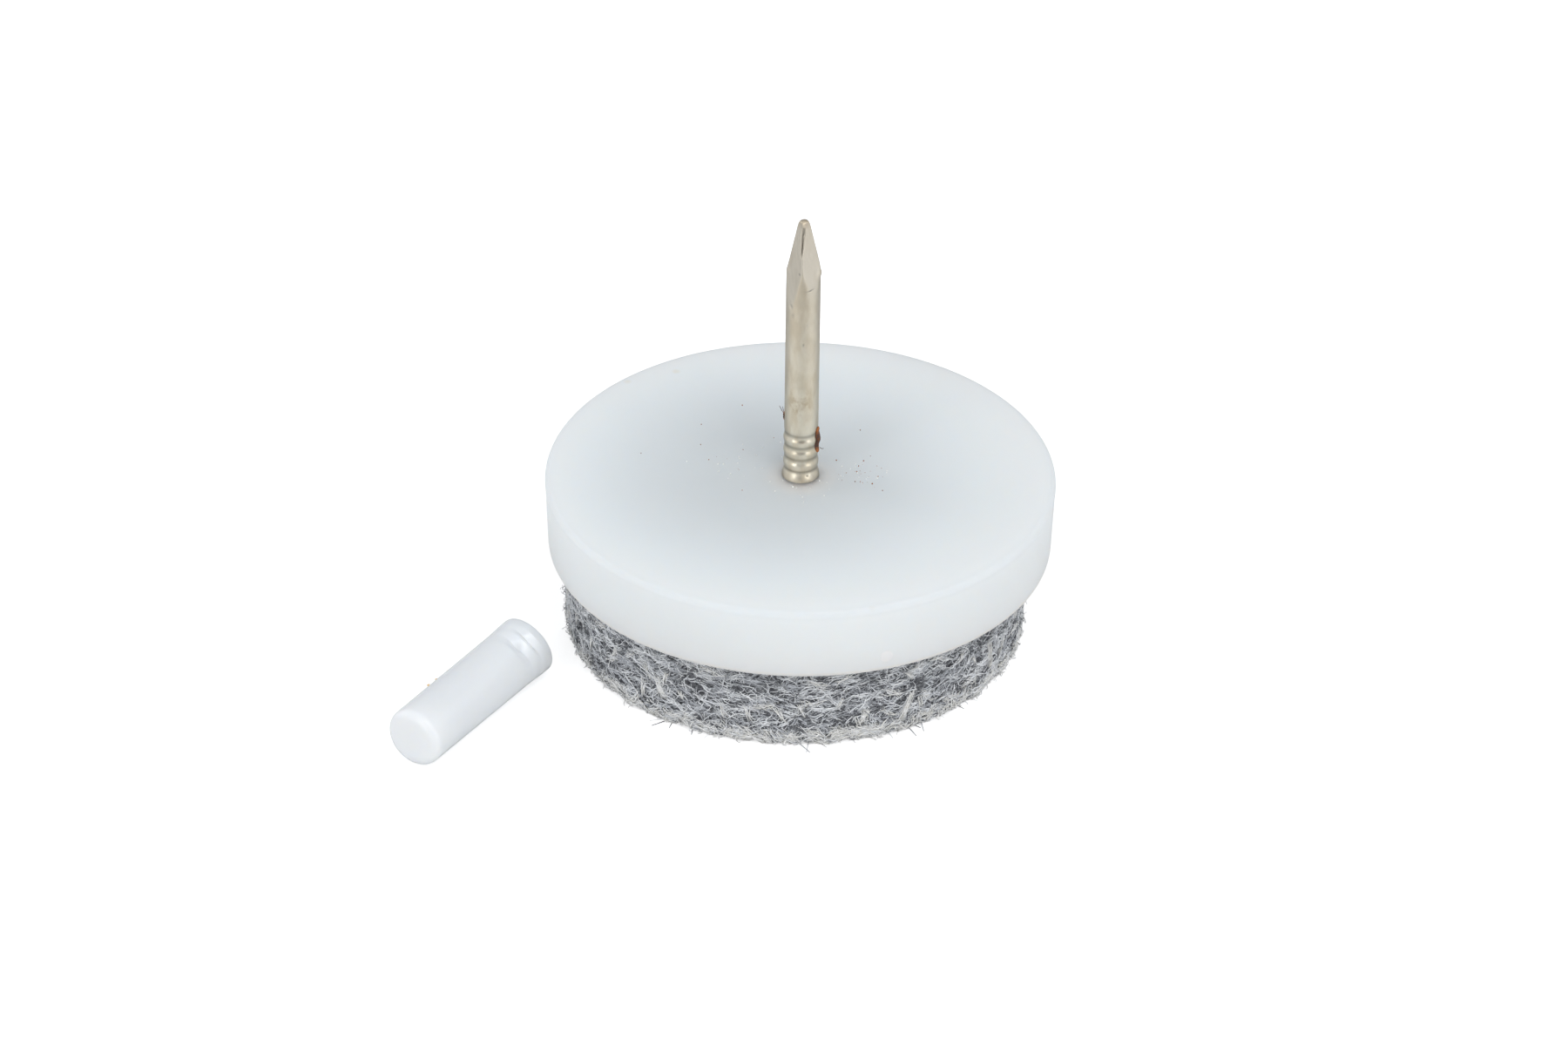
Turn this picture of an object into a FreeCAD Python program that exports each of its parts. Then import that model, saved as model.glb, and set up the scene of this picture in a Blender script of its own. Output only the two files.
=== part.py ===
# Nail-on furniture glide: a moulded plastic disc with a steel nail through its middle, a felt pad
# glued under it, and the soft plastic cap that covers the nail's point, taken off and lying beside it.
# Millimetres, +Z up along the nail. The origin is on the nail's axis, on the floor under the felt.
import FreeCAD
import Part
import math
import os
from FreeCAD import Rotation, Vector

# Disc
disc_diameter = 30.0  # across the top rim, before its edge is rounded
disc_height = 4.5
disc_draft_deg = 2.4  # the wall leans in towards the floor
seat_edge_radius = 0.35  # rounding of the rim under the furniture leg
under_bevel = 0.2  # of the rim above the felt
gate_angle_deg = 20.0  # moulding gate, turned from the front towards +X
gate_rise = 1.0  # from the disc's underside to the gate's middle
gate_diameter = 0.62
gate_stand_out = 0.06  # what the cut-off gate leaves standing out of the wall
gate_bevel = 0.045
gate_root = 1.0  # how far the gate's stub goes into the wall

# Nail
wire_diameter = 2.0
nail_reach = 17.3  # from the seat to the end of the point
head_diameter = 5.0
head_thickness = 0.9
collar_swell = 0.125  # the shank is this much larger in radius where it leaves the plastic
ridge_count = 3  # grip ridges left round the shank by the heading dies
ridge_pitch = 0.77
ridge_stand_out = 0.06
groove_depth = 0.03
ridges_rise = 0.8  # from the seat to the lowest groove
groove_run_out = 0.16  # length over which the top groove comes back to the wire's size
point_length = 3.4  # from the shoulders, where the four edges start, to the end
point_end_diameter = 0.74  # the end is blunt and domed
point_turn_deg = -9.0  # turn of the point's front edge from the front
seam_width = 0.13  # crease that the pointing dies leave along the front and back edges
seam_depth = 0.12
seam_start = 0.55  # from the shoulders to the crease's lower end
seam_length = 2.15
flash_stand_out = 0.045  # burr at the shoulders, where the pointing dies part
flash_length = 0.75
flash_thickness = 0.18
flash_root = 0.5  # how far the burr goes into the shank
die_clearance = 1.0  # how far the shapes that form the point run past the wire

# Felt pad
felt_diameter = 27.3
felt_thickness = 5.7
felt_draft_deg = 3.0
felt_edge_bevel = 0.3  # the lower edge, worn off by use
felt_offset_x = -0.23  # the pad is glued a little off the nail's axis

# Cap for the point
cap_length = 11.4
cap_grip = 0.05  # the bore is this much smaller in radius than the wire, so that it holds
cap_end_wall = 0.85  # beside the bore, at the closed end
cap_mouth_wall = 0.88  # beside the bore, where the lip starts
cap_floor = 1.7  # solid end past the bore
cap_end_radius = 0.5
cap_lip_stand_out = 0.08
cap_lip_length = 1.2
cap_lip_crest = 0.7  # from the mouth back to the crest
cap_rim_drop = 0.22  # from the lip's crest in to the flat ring round the mouth
cap_lead_in = 0.15  # bevel inside the mouth
cap_clearance = 2.19  # from the glide's widest reach to the middle of the mouth, seen from above
cap_bearing_deg = 201.0  # place of the mouth round the glide, from +X towards +Y
cap_turn_deg = 57.4  # the way the mouth points, from +X towards +Y

# Heights that follow from the sizes above
under_z = felt_thickness
seat_z = under_z + disc_height
tip_z = seat_z + nail_reach
shoulder_z = tip_z - point_length

rim_radius = disc_diameter / 2
glide_reach = max(rim_radius, felt_diameter / 2 + abs(felt_offset_x))
wire_radius = wire_diameter / 2
point_slope = (wire_radius - point_end_diameter / 2) / (point_length - point_end_diameter / 2)
upward = Vector(0, 0, 1)


def line(a, b):
    return Part.LineSegment(Vector(*a), Vector(*b)).toShape()


def arc(a, middle, b):
    return Part.Arc(Vector(*a), Vector(*middle), Vector(*b)).toShape()


def crest_arc(foot, crest):
    """Arc from a foot to a crest, both (radius, height), that runs along the axis at the crest."""
    rise = crest[0] - foot[0]
    run = foot[1] - crest[1]
    radius = (rise ** 2 + run ** 2) / (2 * rise)
    half_angle = math.atan2(run, radius - rise) / 2
    middle = (crest[0] - radius + radius * math.cos(half_angle), crest[1] + radius * math.sin(half_angle))
    return arc((foot[0], 0, foot[1]), (middle[0], 0, middle[1]), (crest[0], 0, crest[1]))


def spun(edges):
    """Turns a closed half section in the XZ plane into a solid about the Z axis."""
    face = Part.Face(Part.Wire(edges))
    return face.revolve(Vector(0, 0, 0), upward, 360)


def outline(points):
    """Edges of a closed straight-sided half section given as (radius, height) points."""
    corners = [(r, 0, z) for r, z in points]
    return [line(a, b) for a, b in zip(corners, corners[1:] + corners[:1])]


def outer_edge(solid, height):
    """The outermost circular edge of a turned solid at that height."""
    level = [e for e in solid.Edges if e.BoundBox.ZLength < 1e-6 and abs(e.BoundBox.ZMin - height) < 1e-6]
    return max(level, key=lambda e: e.BoundBox.XMax)


def wall_radius_at(rise):
    """Radius of the disc's drafted wall at a rise above its underside."""
    return rim_radius - (disc_height - rise) * math.tan(math.radians(disc_draft_deg))


def moulding_gate():
    """The trace of the moulding gate: a low pip square to the drafted wall."""
    length = gate_root + gate_stand_out
    stub = Part.makeCylinder(gate_diameter / 2, length, Vector(0, gate_root, 0), Vector(0, -1, 0))
    free_end = min(stub.Edges, key=lambda e: e.BoundBox.YMax)
    stub = stub.makeChamfer(gate_bevel, [free_end])
    stub.rotate(Vector(0, 0, 0), Vector(1, 0, 0), disc_draft_deg)
    stub.translate(Vector(0, -wall_radius_at(gate_rise), under_z + gate_rise))
    stub.rotate(Vector(0, 0, 0), upward, gate_angle_deg)
    return stub


def glide_disc(nail_solid):
    """The drafted disc, moulded round the nail, so that its bore is the nail's own shape."""
    blank = spun(outline([(0, under_z), (wall_radius_at(0), under_z), (rim_radius, seat_z), (0, seat_z)]))
    blank = blank.makeFillet(seat_edge_radius, [outer_edge(blank, seat_z)])
    blank = blank.makeChamfer(under_bevel, [outer_edge(blank, under_z)])
    return blank.fuse(moulding_gate()).removeSplitter().cut(nail_solid)


def shank_section():
    """Half section of the nail before its point is pressed: head, collar, grip ridges, wire and domed end."""
    head_r = head_diameter / 2
    collar_r = wire_radius + collar_swell
    groove_r = wire_radius - groove_depth
    ridge_r = wire_radius + ridge_stand_out
    head_top = under_z + head_thickness
    grooves = [seat_z + ridges_rise + k * ridge_pitch for k in range(ridge_count + 1)]
    wire_start = grooves[-1] + groove_run_out
    dome_r = point_end_diameter / 2
    dome_z = tip_z - dome_r
    dome_mid = dome_r * math.sqrt(0.5)
    edges = [
        line((0, 0, under_z), (head_r, 0, under_z)),
        line((head_r, 0, under_z), (head_r, 0, head_top)),
        line((head_r, 0, head_top), (collar_r, 0, head_top)),
        line((collar_r, 0, head_top), (collar_r, 0, seat_z)),
        crest_arc((groove_r, grooves[0]), (collar_r, seat_z)),
    ]
    for low, high in zip(grooves, grooves[1:]):
        edges.append(arc((groove_r, 0, low), (ridge_r, 0, (low + high) / 2), (groove_r, 0, high)))
    edges += [
        line((groove_r, 0, grooves[-1]), (wire_radius, 0, wire_start)),
        line((wire_radius, 0, wire_start), (wire_radius, 0, dome_z)),
        line((wire_radius, 0, dome_z), (dome_r, 0, dome_z)),
        arc((dome_r, 0, dome_z), (dome_mid, 0, dome_z + dome_mid), (0, 0, tip_z)),
        line((0, 0, tip_z), (0, 0, under_z)),
    ]
    return edges


def square(half_diagonal, height):
    """A square wire with its corners on the front, back, left and right."""
    corners = [(0, -half_diagonal), (half_diagonal, 0), (0, half_diagonal), (-half_diagonal, 0)]
    points = [Vector(x, y, height) for x, y in corners]
    return Part.makePolygon(points + points[:1])


def point_half_diagonal(height):
    """Half the width of the point from edge to edge, at that height."""
    return wire_radius - point_slope * (height - shoulder_z)


def point_waste():
    """What the dies take off the wire to leave a four-sided point, from where the flats run out."""
    flats_end = shoulder_z - wire_radius * (math.sqrt(2) - 1) / point_slope
    low = flats_end - die_clearance
    pyramid = Part.makeLoft([square(point_half_diagonal(z), z) for z in (low, tip_z)], True, True)
    stock = Part.makeCylinder(wire_radius + die_clearance, tip_z - low, Vector(0, 0, low))
    return stock.cut(pyramid)


def seam(side):
    """A narrow V-shaped crease along the point's front edge (side -1) or back edge (side 1)."""
    low = shoulder_z + seam_start
    high = low + seam_length
    half_mouth = seam_width / 2 * (die_clearance + seam_depth) / seam_depth

    def section(height):
        edge = point_half_diagonal(height)
        root = side * (edge - seam_depth)
        mouth = side * (edge + die_clearance)
        corners = [(0, root), (half_mouth, mouth), (-half_mouth, mouth)]
        points = [Vector(x, y, height) for x, y in corners]
        return Part.makePolygon(points + points[:1])

    return Part.makeLoft([section(low), section(high)], True, True)


def shoulder_flash(side):
    """The thin burr that stands out of the right (side 1) or left (side -1) shoulder."""
    inner = wire_radius - flash_root
    crest = wire_radius + flash_stand_out
    low = shoulder_z - flash_length / 2
    high = shoulder_z + flash_length / 2
    points = [
        Vector(side * inner, -flash_thickness / 2, low),
        Vector(side * wire_radius, -flash_thickness / 2, low),
        Vector(side * crest, -flash_thickness / 2, shoulder_z),
        Vector(side * point_half_diagonal(high), -flash_thickness / 2, high),
        Vector(side * inner, -flash_thickness / 2, high),
    ]
    fin = Part.Face(Part.makePolygon(points + points[:1]))
    return fin.extrude(Vector(0, flash_thickness, 0))


def nail():
    """One headed and pointed wire nail."""
    pointed = spun(shank_section())
    tools = [point_waste(), seam(-1), seam(1)]
    fins = [shoulder_flash(-1), shoulder_flash(1)]
    for tool in tools + fins:
        tool.rotate(Vector(0, 0, 0), upward, point_turn_deg)
    for tool in tools:
        pointed = pointed.cut(tool)
    return pointed.multiFuse(fins).removeSplitter()


def felt_pad():
    """A thick felt disc with a worn lower edge, glued to the disc's underside."""
    top_r = felt_diameter / 2
    foot_r = top_r - felt_thickness * math.tan(math.radians(felt_draft_deg))
    pad = spun(outline([(0, 0), (foot_r, 0), (top_r, felt_thickness), (0, felt_thickness)]))
    pad = pad.makeChamfer(felt_edge_bevel, [outer_edge(pad, 0)])
    pad.translate(Vector(felt_offset_x, 0, 0))
    return pad


def nail_cap():
    """A soft tapered cap with a rolled lip at its mouth, lying on its side on the floor."""
    bore_r = wire_radius - cap_grip
    end_r = bore_r + cap_end_wall
    neck = (bore_r + cap_mouth_wall, cap_length - cap_lip_length)
    crest = (neck[0] + cap_lip_stand_out, cap_length - cap_lip_crest)
    rim = (crest[0] - cap_rim_drop, cap_length)
    corners = [
        rim,
        (bore_r + cap_lead_in, cap_length),
        (bore_r, cap_length - cap_lead_in),
        (bore_r, cap_floor),
        (0, cap_floor),
        (0, 0),
        (end_r, 0),
        neck,
    ]
    edges = [line((a[0], 0, a[1]), (b[0], 0, b[1])) for a, b in zip(corners, corners[1:])]
    edges += [crest_arc(neck, crest), crest_arc(rim, crest)]
    cap = spun(edges)
    cap = cap.makeFillet(cap_end_radius, [outer_edge(cap, 0)])
    lay_on_floor(cap, (end_r, cap_end_radius), crest)
    return cap


def lay_on_floor(cap, end_contact, lip_contact):
    """Lays the upright cap down so that its closed end and its lip both touch the floor."""
    lean = math.degrees(math.atan2(lip_contact[0] - end_contact[0], lip_contact[1] - end_contact[1]))
    cap.rotate(Vector(0, 0, 0), Vector(0, 1, 0), 90 - lean)
    cap.rotate(Vector(0, 0, 0), upward, cap_turn_deg)
    mouth = Rotation(upward, cap_turn_deg).multVec(Vector(cap_length * math.cos(math.radians(lean)), 0, 0))
    place = Rotation(upward, cap_bearing_deg).multVec(Vector(glide_reach + cap_clearance, 0, 0))
    cap.translate(Vector(place.x - mouth.x, place.y - mouth.y, -cap.optimalBoundingBox().ZMin))


def main():
    nail_solid = nail()
    pieces = {
        "glide_disc": glide_disc(nail_solid),
        "nail": nail_solid,
        "felt_pad": felt_pad(),
        "nail_cap": nail_cap(),
    }
    os.makedirs("parts", exist_ok=True)
    for name, shape in pieces.items():
        shape.exportStep(f"parts/{name}.step")
        box = shape.BoundBox
        print(
            f"{name}: valid {shape.isValid()}, solids {len(shape.Solids)}, volume {shape.Volume:.2f} mm3,"
            f" z {box.ZMin:.3f} to {box.ZMax:.3f}"
        )


main()
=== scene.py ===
import bpy
import numpy as np
from mathutils import Matrix, Vector


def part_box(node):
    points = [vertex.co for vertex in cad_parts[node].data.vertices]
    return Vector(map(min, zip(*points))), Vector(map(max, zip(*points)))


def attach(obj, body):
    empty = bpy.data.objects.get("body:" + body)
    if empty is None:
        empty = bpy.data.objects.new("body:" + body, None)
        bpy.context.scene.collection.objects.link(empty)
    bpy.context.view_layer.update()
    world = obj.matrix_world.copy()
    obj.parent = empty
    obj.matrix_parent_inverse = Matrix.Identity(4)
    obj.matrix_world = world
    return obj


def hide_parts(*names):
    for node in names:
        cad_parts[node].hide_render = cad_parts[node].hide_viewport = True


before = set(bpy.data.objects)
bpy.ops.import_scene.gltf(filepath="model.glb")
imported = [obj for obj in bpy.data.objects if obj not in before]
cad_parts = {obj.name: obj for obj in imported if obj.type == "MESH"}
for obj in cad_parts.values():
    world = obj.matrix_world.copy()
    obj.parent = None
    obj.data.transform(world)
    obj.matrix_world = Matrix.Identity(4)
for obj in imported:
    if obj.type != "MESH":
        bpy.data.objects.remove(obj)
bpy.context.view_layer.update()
mm = 0.001  # every size below is in millimetres unless its note says otherwise
print("frame loaded:", sorted(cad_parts))

scene = bpy.context.scene
scene.view_settings.view_transform = "Standard"


def inMillimetres(box):
    # Lowest and highest corner of a solid's box.
    return [np.array(corner) / mm for corner in box]


# The dressed pieces take their heights and widths from the solids.
discLow, discHigh = inMillimetres(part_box("glide_disc"))
nailLow, nailHigh = inMillimetres(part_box("nail"))
feltLow, feltHigh = inMillimetres(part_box("felt_pad"))
capLow = inMillimetres(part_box("nail_cap"))[0]
seatZ = discHigh[2]
reach = nailHigh[2] - seatZ  # of the nail, from the seat to its tip


# Camera

camera = {
    "elevation": 32.75,  # degrees above the floor
    "roll": 0.8,  # degrees, the picture turned clockwise
    "distance": 500.0,  # from the middle of the disc's seat
    "lens": 195.8,  # focal length
    "sensor": 36.0,  # width
    "nearest": 10.0,  # anything nearer is not drawn
    "aimRight": -0.97,  # picture centre from the middle of the seat
    "aimUp": -2.865,
}


def addCamera():
    # The view axes are the floor's right and up turned by elevation, then by roll about the line of sight.
    lift, roll = np.radians([camera["elevation"], camera["roll"]])
    back = np.array([0.0, -np.cos(lift), np.sin(lift)])
    flatRight = np.array([1.0, 0.0, 0.0])
    flatUp = np.array([0.0, np.sin(lift), np.cos(lift)])
    right = np.cos(roll) * flatRight + np.sin(roll) * flatUp
    up = np.cos(roll) * flatUp - np.sin(roll) * flatRight
    aim = np.array([0.0, 0.0, seatZ]) + camera["aimRight"] * right + camera["aimUp"] * up
    place = (aim + camera["distance"] * back) * mm
    data = bpy.data.cameras.new("camera")
    data.lens = camera["lens"]
    data.sensor_width = camera["sensor"]
    data.clip_start = camera["nearest"] * mm
    viewer = bpy.data.objects.new("camera", data)
    rows = [[right[i], up[i], back[i], place[i]] for i in range(3)] + [[0.0, 0.0, 0.0, 1.0]]
    viewer.matrix_world = Matrix(rows)
    scene.collection.objects.link(viewer)
    scene.camera = viewer


addCamera()
print("camera placed")


# Mesh helpers

def gridQuads(rows, columns, wrapRows):
    # Each grid point is joined to its neighbour in the next row and the next column; columns run round.
    row = np.arange(rows if wrapRows else rows - 1)[:, None]
    column = np.arange(columns)[None, :]
    nextRow = (row + 1) % rows
    nextColumn = (column + 1) % columns
    corners = [row * columns + column, row * columns + nextColumn]
    corners += [nextRow * columns + nextColumn, nextRow * columns + column]
    return np.stack(corners, axis=-1).reshape(-1, 4)


def closedGrid(grid, wrapRows=False):
    # Rows of points with columns round them; unless the rows wrap, a fan about its middle closes each end.
    rows, columns = grid.shape[:2]
    points = grid.reshape(-1, 3)
    quads = gridQuads(rows, columns, wrapRows)
    if wrapRows:
        return points, quads, np.empty((0, 3), int)
    here = np.arange(columns)
    after = (here + 1) % columns
    lastRow = (rows - 1) * columns
    firstPole = np.full(columns, rows * columns)
    poles = np.stack([grid[0].mean(axis=0), grid[-1].mean(axis=0)])
    firstFan = np.stack([firstPole, after, here], axis=-1)
    lastFan = np.stack([lastRow + here, lastRow + after, firstPole + 1], axis=-1)
    return np.concatenate([points, poles]), quads, np.concatenate([firstFan, lastFan])


def makePiece(name, points, quads, tris, material, slot, sharpDegrees=None):
    # Puts whole arrays of points (millimetres) and faces into one mesh object at the origin.
    mesh = bpy.data.meshes.new(name)
    corners = np.concatenate([quads.ravel(), tris.ravel()]).astype(np.int32)
    sizes = np.concatenate([np.full(len(quads), 4), np.full(len(tris), 3)])
    starts = (np.cumsum(sizes) - sizes).astype(np.int32)
    mesh.vertices.add(len(points))
    mesh.vertices.foreach_set("co", (points * mm).astype(np.float32).ravel())
    mesh.loops.add(len(corners))
    mesh.loops.foreach_set("vertex_index", corners)
    mesh.polygons.add(len(starts))
    mesh.polygons.foreach_set("loop_start", starts)
    mesh.update(calc_edges=True)
    mesh.shade_smooth()
    if sharpDegrees is not None:
        mesh.set_sharp_from_angle(angle=np.radians(sharpDegrees))
    mesh.materials.append(material)
    piece = bpy.data.objects.new(name, mesh)
    scene.collection.objects.link(piece)
    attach(piece, "root")
    print(f"{name}: {2 * len(quads) + len(tris)} triangles")
    return piece


def setValues(piece, name, values):
    # One number for each point of the mesh, which the material reads by name.
    data = piece.data.attributes.new(name, "FLOAT", "POINT").data
    data.foreach_set("value", values.astype(np.float32).ravel())


def line(start, end, count):
    # Points spaced evenly from start up to, but without, end.
    share = np.linspace(0.0, 1.0, count, endpoint=False)[:, None]
    return np.array(start) + share * (np.array(end) - np.array(start))


def arc(centre, radius, startDegrees, endDegrees, count):
    # Points on a circle of the section, from the start angle up to and with the end angle.
    turn = np.radians(np.linspace(startDegrees, endDegrees, count))
    return np.array(centre) + radius * np.stack([np.cos(turn), np.sin(turn)], axis=-1)


def around(radius, turns, height):
    # Radius, angle and height to points about the upright axis.
    upright = height + 0.0 * turns
    return np.stack([radius * np.cos(turns), radius * np.sin(turns), upright], axis=-1)


def spun(section, turns):
    # Section points (radius, height) carried round the upright axis at the given angles.
    return around(section[:, 0, None], turns, section[:, 1, None])


def roundTurns(count):
    # Angles round a full circle, from the front (-Y).
    return np.linspace(0.0, 2 * np.pi, count, endpoint=False) - np.pi / 2


def bearingTurn(degrees):
    # Angle of a bearing that is measured from the front towards +X.
    return np.radians(degrees - 90.0)


def fromFront(turns, degrees):
    # Angle from the given bearing, in the range -pi to pi.
    return (turns + np.pi / 2 - np.radians(degrees) + np.pi) % (2 * np.pi) - np.pi


def bell(distance, width):
    # Smooth hump of height 1 that falls off over the width.
    return np.exp(-((distance / width) ** 2))


def smoothStep(value, start, end):
    # 0 at start, 1 at end, level at both.
    share = np.clip((value - start) / (end - start), 0.0, 1.0)
    return share ** 2 * (3.0 - 2.0 * share)


def logistic(distance, width):
    # 1 far below zero, 0 far above it, passing one half at zero.
    steepest = 40.0  # keeps the exponent in range
    return 1.0 / (1.0 + np.exp(np.clip(distance / width, -steepest, steepest)))


def ripples(rng, turns, heights, waves, mostRound, shortest):
    # Sum of cosine waves of random direction and phase; whole counts round the piece make it meet itself.
    # The pieces name such sets as number of waves, most round the piece and shortest along it.
    count = rng.integers(-mostRound, mostRound + 1, waves)
    rise = rng.uniform(-1.0, 1.0, waves) * 2 * np.pi / shortest
    phase = rng.uniform(0.0, 2 * np.pi, waves)
    total = np.zeros(np.broadcast(turns, heights).shape)
    for each in range(waves):
        total += np.cos(count[each] * turns + rise[each] * heights + phase[each])
    return total / np.sqrt(waves)


# Shader helpers and the effects that several finishes share

def metres(values):
    return tuple(value * mm for value in values)


def newMaterial(name):
    material = bpy.data.materials.new(name)
    material.use_nodes = True
    tree = material.node_tree
    return material, tree, tree.nodes["Principled BSDF"]


def setInputs(tree, node, inputs):
    # A socket is linked, anything else is set as the input's own value.
    for name, value in inputs.items():
        if isinstance(value, bpy.types.NodeSocket):
            tree.links.new(value, node.inputs[name])
        else:
            node.inputs[name].default_value = value


def addNode(tree, kind, inputs=None, **settings):
    node = tree.nodes.new(kind)
    for name, value in settings.items():
        setattr(node, name, value)
    setInputs(tree, node, inputs or {})
    return node


def objectPoint(tree):
    return addNode(tree, "ShaderNodeTexCoord").outputs["Object"]


def attribute(tree, name):
    return addNode(tree, "ShaderNodeAttribute", attribute_name=name).outputs["Fac"]


def along(tree, point, axis):
    return addNode(tree, "ShaderNodeSeparateXYZ", {0: point}).outputs[axis]


def vectorMath(tree, operation, *values):
    node = addNode(tree, "ShaderNodeVectorMath", dict(enumerate(values)), operation=operation)
    return node.outputs["Value" if operation in ("LENGTH", "DOT_PRODUCT") else "Vector"]


def numberMath(tree, operation, *values, clamp=False):
    node = addNode(tree, "ShaderNodeMath", dict(enumerate(values)), operation=operation, use_clamp=clamp)
    return node.outputs[0]


def scaled(tree, value, factor, offset=0.0):
    return numberMath(tree, "MULTIPLY_ADD", value, factor, offset)


def ramp(tree, value, start, end, first=0.0, last=1.0):
    # Smooth step of a value: first up to start, last from end on.
    inputs = {"Value": value, "From Min": start, "From Max": end, "To Min": first, "To Max": last}
    return addNode(tree, "ShaderNodeMapRange", inputs, interpolation_type="SMOOTHSTEP").outputs["Result"]


def mixColour(tree, share, first, second):
    return addNode(tree, "ShaderNodeMix", {0: share, 6: first, 7: second}, data_type="RGBA").outputs[2]


def bumped(tree, shader, height, distance, strength):
    bump = addNode(tree, "ShaderNodeBump", {"Height": height, "Distance": distance, "Strength": strength})
    tree.links.new(bump.outputs["Normal"], shader.inputs["Normal"])


def newGroup(name, vectors, numbers):
    # An empty effect with its inputs and one output, the mask.
    group = bpy.data.node_groups.new(name, "ShaderNodeTree")
    for kind, inputs in (("NodeSocketVector", vectors), ("NodeSocketFloat", numbers)):
        for socketName, value in inputs.items():
            socket = group.interface.new_socket(socketName, in_out="INPUT", socket_type=kind)
            socket.default_value = value
    group.interface.new_socket("Mask", in_out="OUTPUT", socket_type="NodeSocketFloat")
    start = group.nodes.new("NodeGroupInput").outputs
    end = group.nodes.new("NodeGroupOutput").inputs
    return group, start, end


def mottleGroup():
    # Cloudy mask: noise on stretched object points, spread between a low and a high level.
    vectors = {"Point": (0.0, 0.0, 0.0), "Stretch": (1.0, 1.0, 1.0)}
    numbers = {"Scale": 1000.0, "Detail": 3.0, "Low": 0.35, "High": 0.65}
    group, start, end = newGroup("mottle", vectors, numbers)
    stretched = vectorMath(group, "MULTIPLY", start["Point"], start["Stretch"])
    inputs = {"Vector": stretched, "Scale": start["Scale"], "Detail": start["Detail"]}
    noise = addNode(group, "ShaderNodeTexNoise", inputs).outputs[0]
    group.links.new(ramp(group, noise, start["Low"], start["High"]), end["Mask"])
    return group


def spotGroup():
    # Soft round mark: 1 within the radius about a place, falling to 0 over the edge, broken up by noise.
    vectors = {"Point": (0.0, 0.0, 0.0), "Place": (0.0, 0.0, 0.0), "Squeeze": (1.0, 1.0, 1.0)}
    numbers = {"Radius": 0.001, "Edge": 0.001, "Ragged": 0.0, "Scale": 2000.0}
    group, start, end = newGroup("spot", vectors, numbers)
    away = vectorMath(group, "SUBTRACT", start["Point"], start["Place"])
    distance = vectorMath(group, "LENGTH", vectorMath(group, "MULTIPLY", away, start["Squeeze"]))
    inputs = {"Vector": start["Point"], "Scale": start["Scale"]}
    noise = addNode(group, "ShaderNodeTexNoise", inputs).outputs[0]
    wander = numberMath(group, "MULTIPLY_ADD", noise, start["Ragged"], distance)
    outer = numberMath(group, "ADD", start["Radius"], start["Edge"])
    group.links.new(ramp(group, wander, start["Radius"], outer, 1.0, 0.0), end["Mask"])
    return group


mottle = mottleGroup()
spot = spotGroup()


def mask(tree, group, **inputs):
    # Places a shared effect in a material with its own values and gives back its mask.
    inputs = {"Point": objectPoint(tree), **inputs}
    return addNode(tree, "ShaderNodeGroup", inputs, node_tree=group).outputs["Mask"]


def spotAt(tree, place, size, ragged=0.0, **inputs):
    # The round mark with its place, its size as radius and edge, and its raggedness in millimetres.
    radius, edge = metres(size)
    return mask(tree, spot, Place=metres(place), Radius=radius, Edge=edge, Ragged=ragged * mm, **inputs)


print("shared effects ready")


# The nail's lower end, which the plastic is moulded round; disc and nail share it

insert = {
    "radius": 1.09,  # where the nail leaves the plastic
    "headRadius": 2.5,
    "headThickness": 0.9,
}
headTop = nailLow[2] + insert["headThickness"]


# Moulded disc

disc = {
    "segments": 400,
    "rimRound": 0.35,  # rounding of the seat's edge
    "underBevel": 0.2,
    "draft": 2.4,  # degrees, the wall opening towards the seat
    "hold": (0.05, 0.06),  # rows this far before and after a rounding keep its shading to itself
    "wallEnds": (0.01, 0.02),  # the wall starts this far outside its foot and ends this far inside the rim
    "lipWidth": 0.12,  # plastic drawn up round the nail
    "lipRise": 0.03,
    "lipBite": 0.01,
    "sink": 0.03,  # depth of the seat's shrinkage, which is deepest on a ring
    "sinkRadius": 7.5,
    "sinkWidth": 4.0,
    "sharp": 40.0,  # degrees, above which an edge is left unsmoothed
    "gateBearing": 20.0,  # degrees from the front towards +X
    "gateSpan": 1.6,  # degrees to each side with finer columns
    "gateColumns": 33,
    "gateRise": 1.0,  # middle of the gate mark above the underside
    "gateWidth": 0.62,
    "gateStandOut": 0.06,
    "gateSoftness": 0.045,
    "rimColour": (0.885, 0.932, 0.95, 1.0),
    # Painted shade: the seat darkens towards its middle, where less light comes through the plastic than at
    # the rim
    "shadedMiddleColour": (0.695, 0.735, 0.75, 1.0),
    "deepestShadeAside": -1.6,  # the deepest painted shade lies this far from the nail in X
    "fade": (3.0, 14.5),  # distances from there between which the painted shade of the middle gives way to the rim's colour
    "cloudColour": (0.9, 0.93, 0.95, 1.0),
    "cloudShare": 0.05,
    "warmColour": (0.86, 0.85, 0.815, 1.0),  # warm tint round the nail's foot, made lighter as painted light over the shade there
    "footLightPlace": (0.0, -0.3),
    "footLightSize": (1.2, 1.3),
    "warmShare": 0.5,
    "edgeShadeColour": (0.79, 0.845, 0.87, 1.0),  # painted shade on the seat's rounded edge, where the lights draw a bright line
    "rimShadeReach": 0.3,
    "edgeShadeShare": 0.7,
    "rimShadeDepth": 0.3,  # share of the rounding at which the painted shade is deepest
    "creamColour": (0.94, 0.93, 0.86, 1.0),  # glue line along the lower edge
    "creamBand": (0.12, 0.42),
    "creamShare": 0.75,
    "gateColour": (0.96, 0.988, 1.0, 1.0),  # rubbed white
    "gateSize": (0.42, 0.14),
    "gateRagged": 0.2,
    "stainColour": (0.80, 0.74, 0.58, 1.0),
    "stains": [(-7.5, 11.2), (-10.4, 10.0), (4.2, -14.3)],
    "stainSize": (0.06, 0.28),
    "stainShare": 0.35,
}


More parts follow.
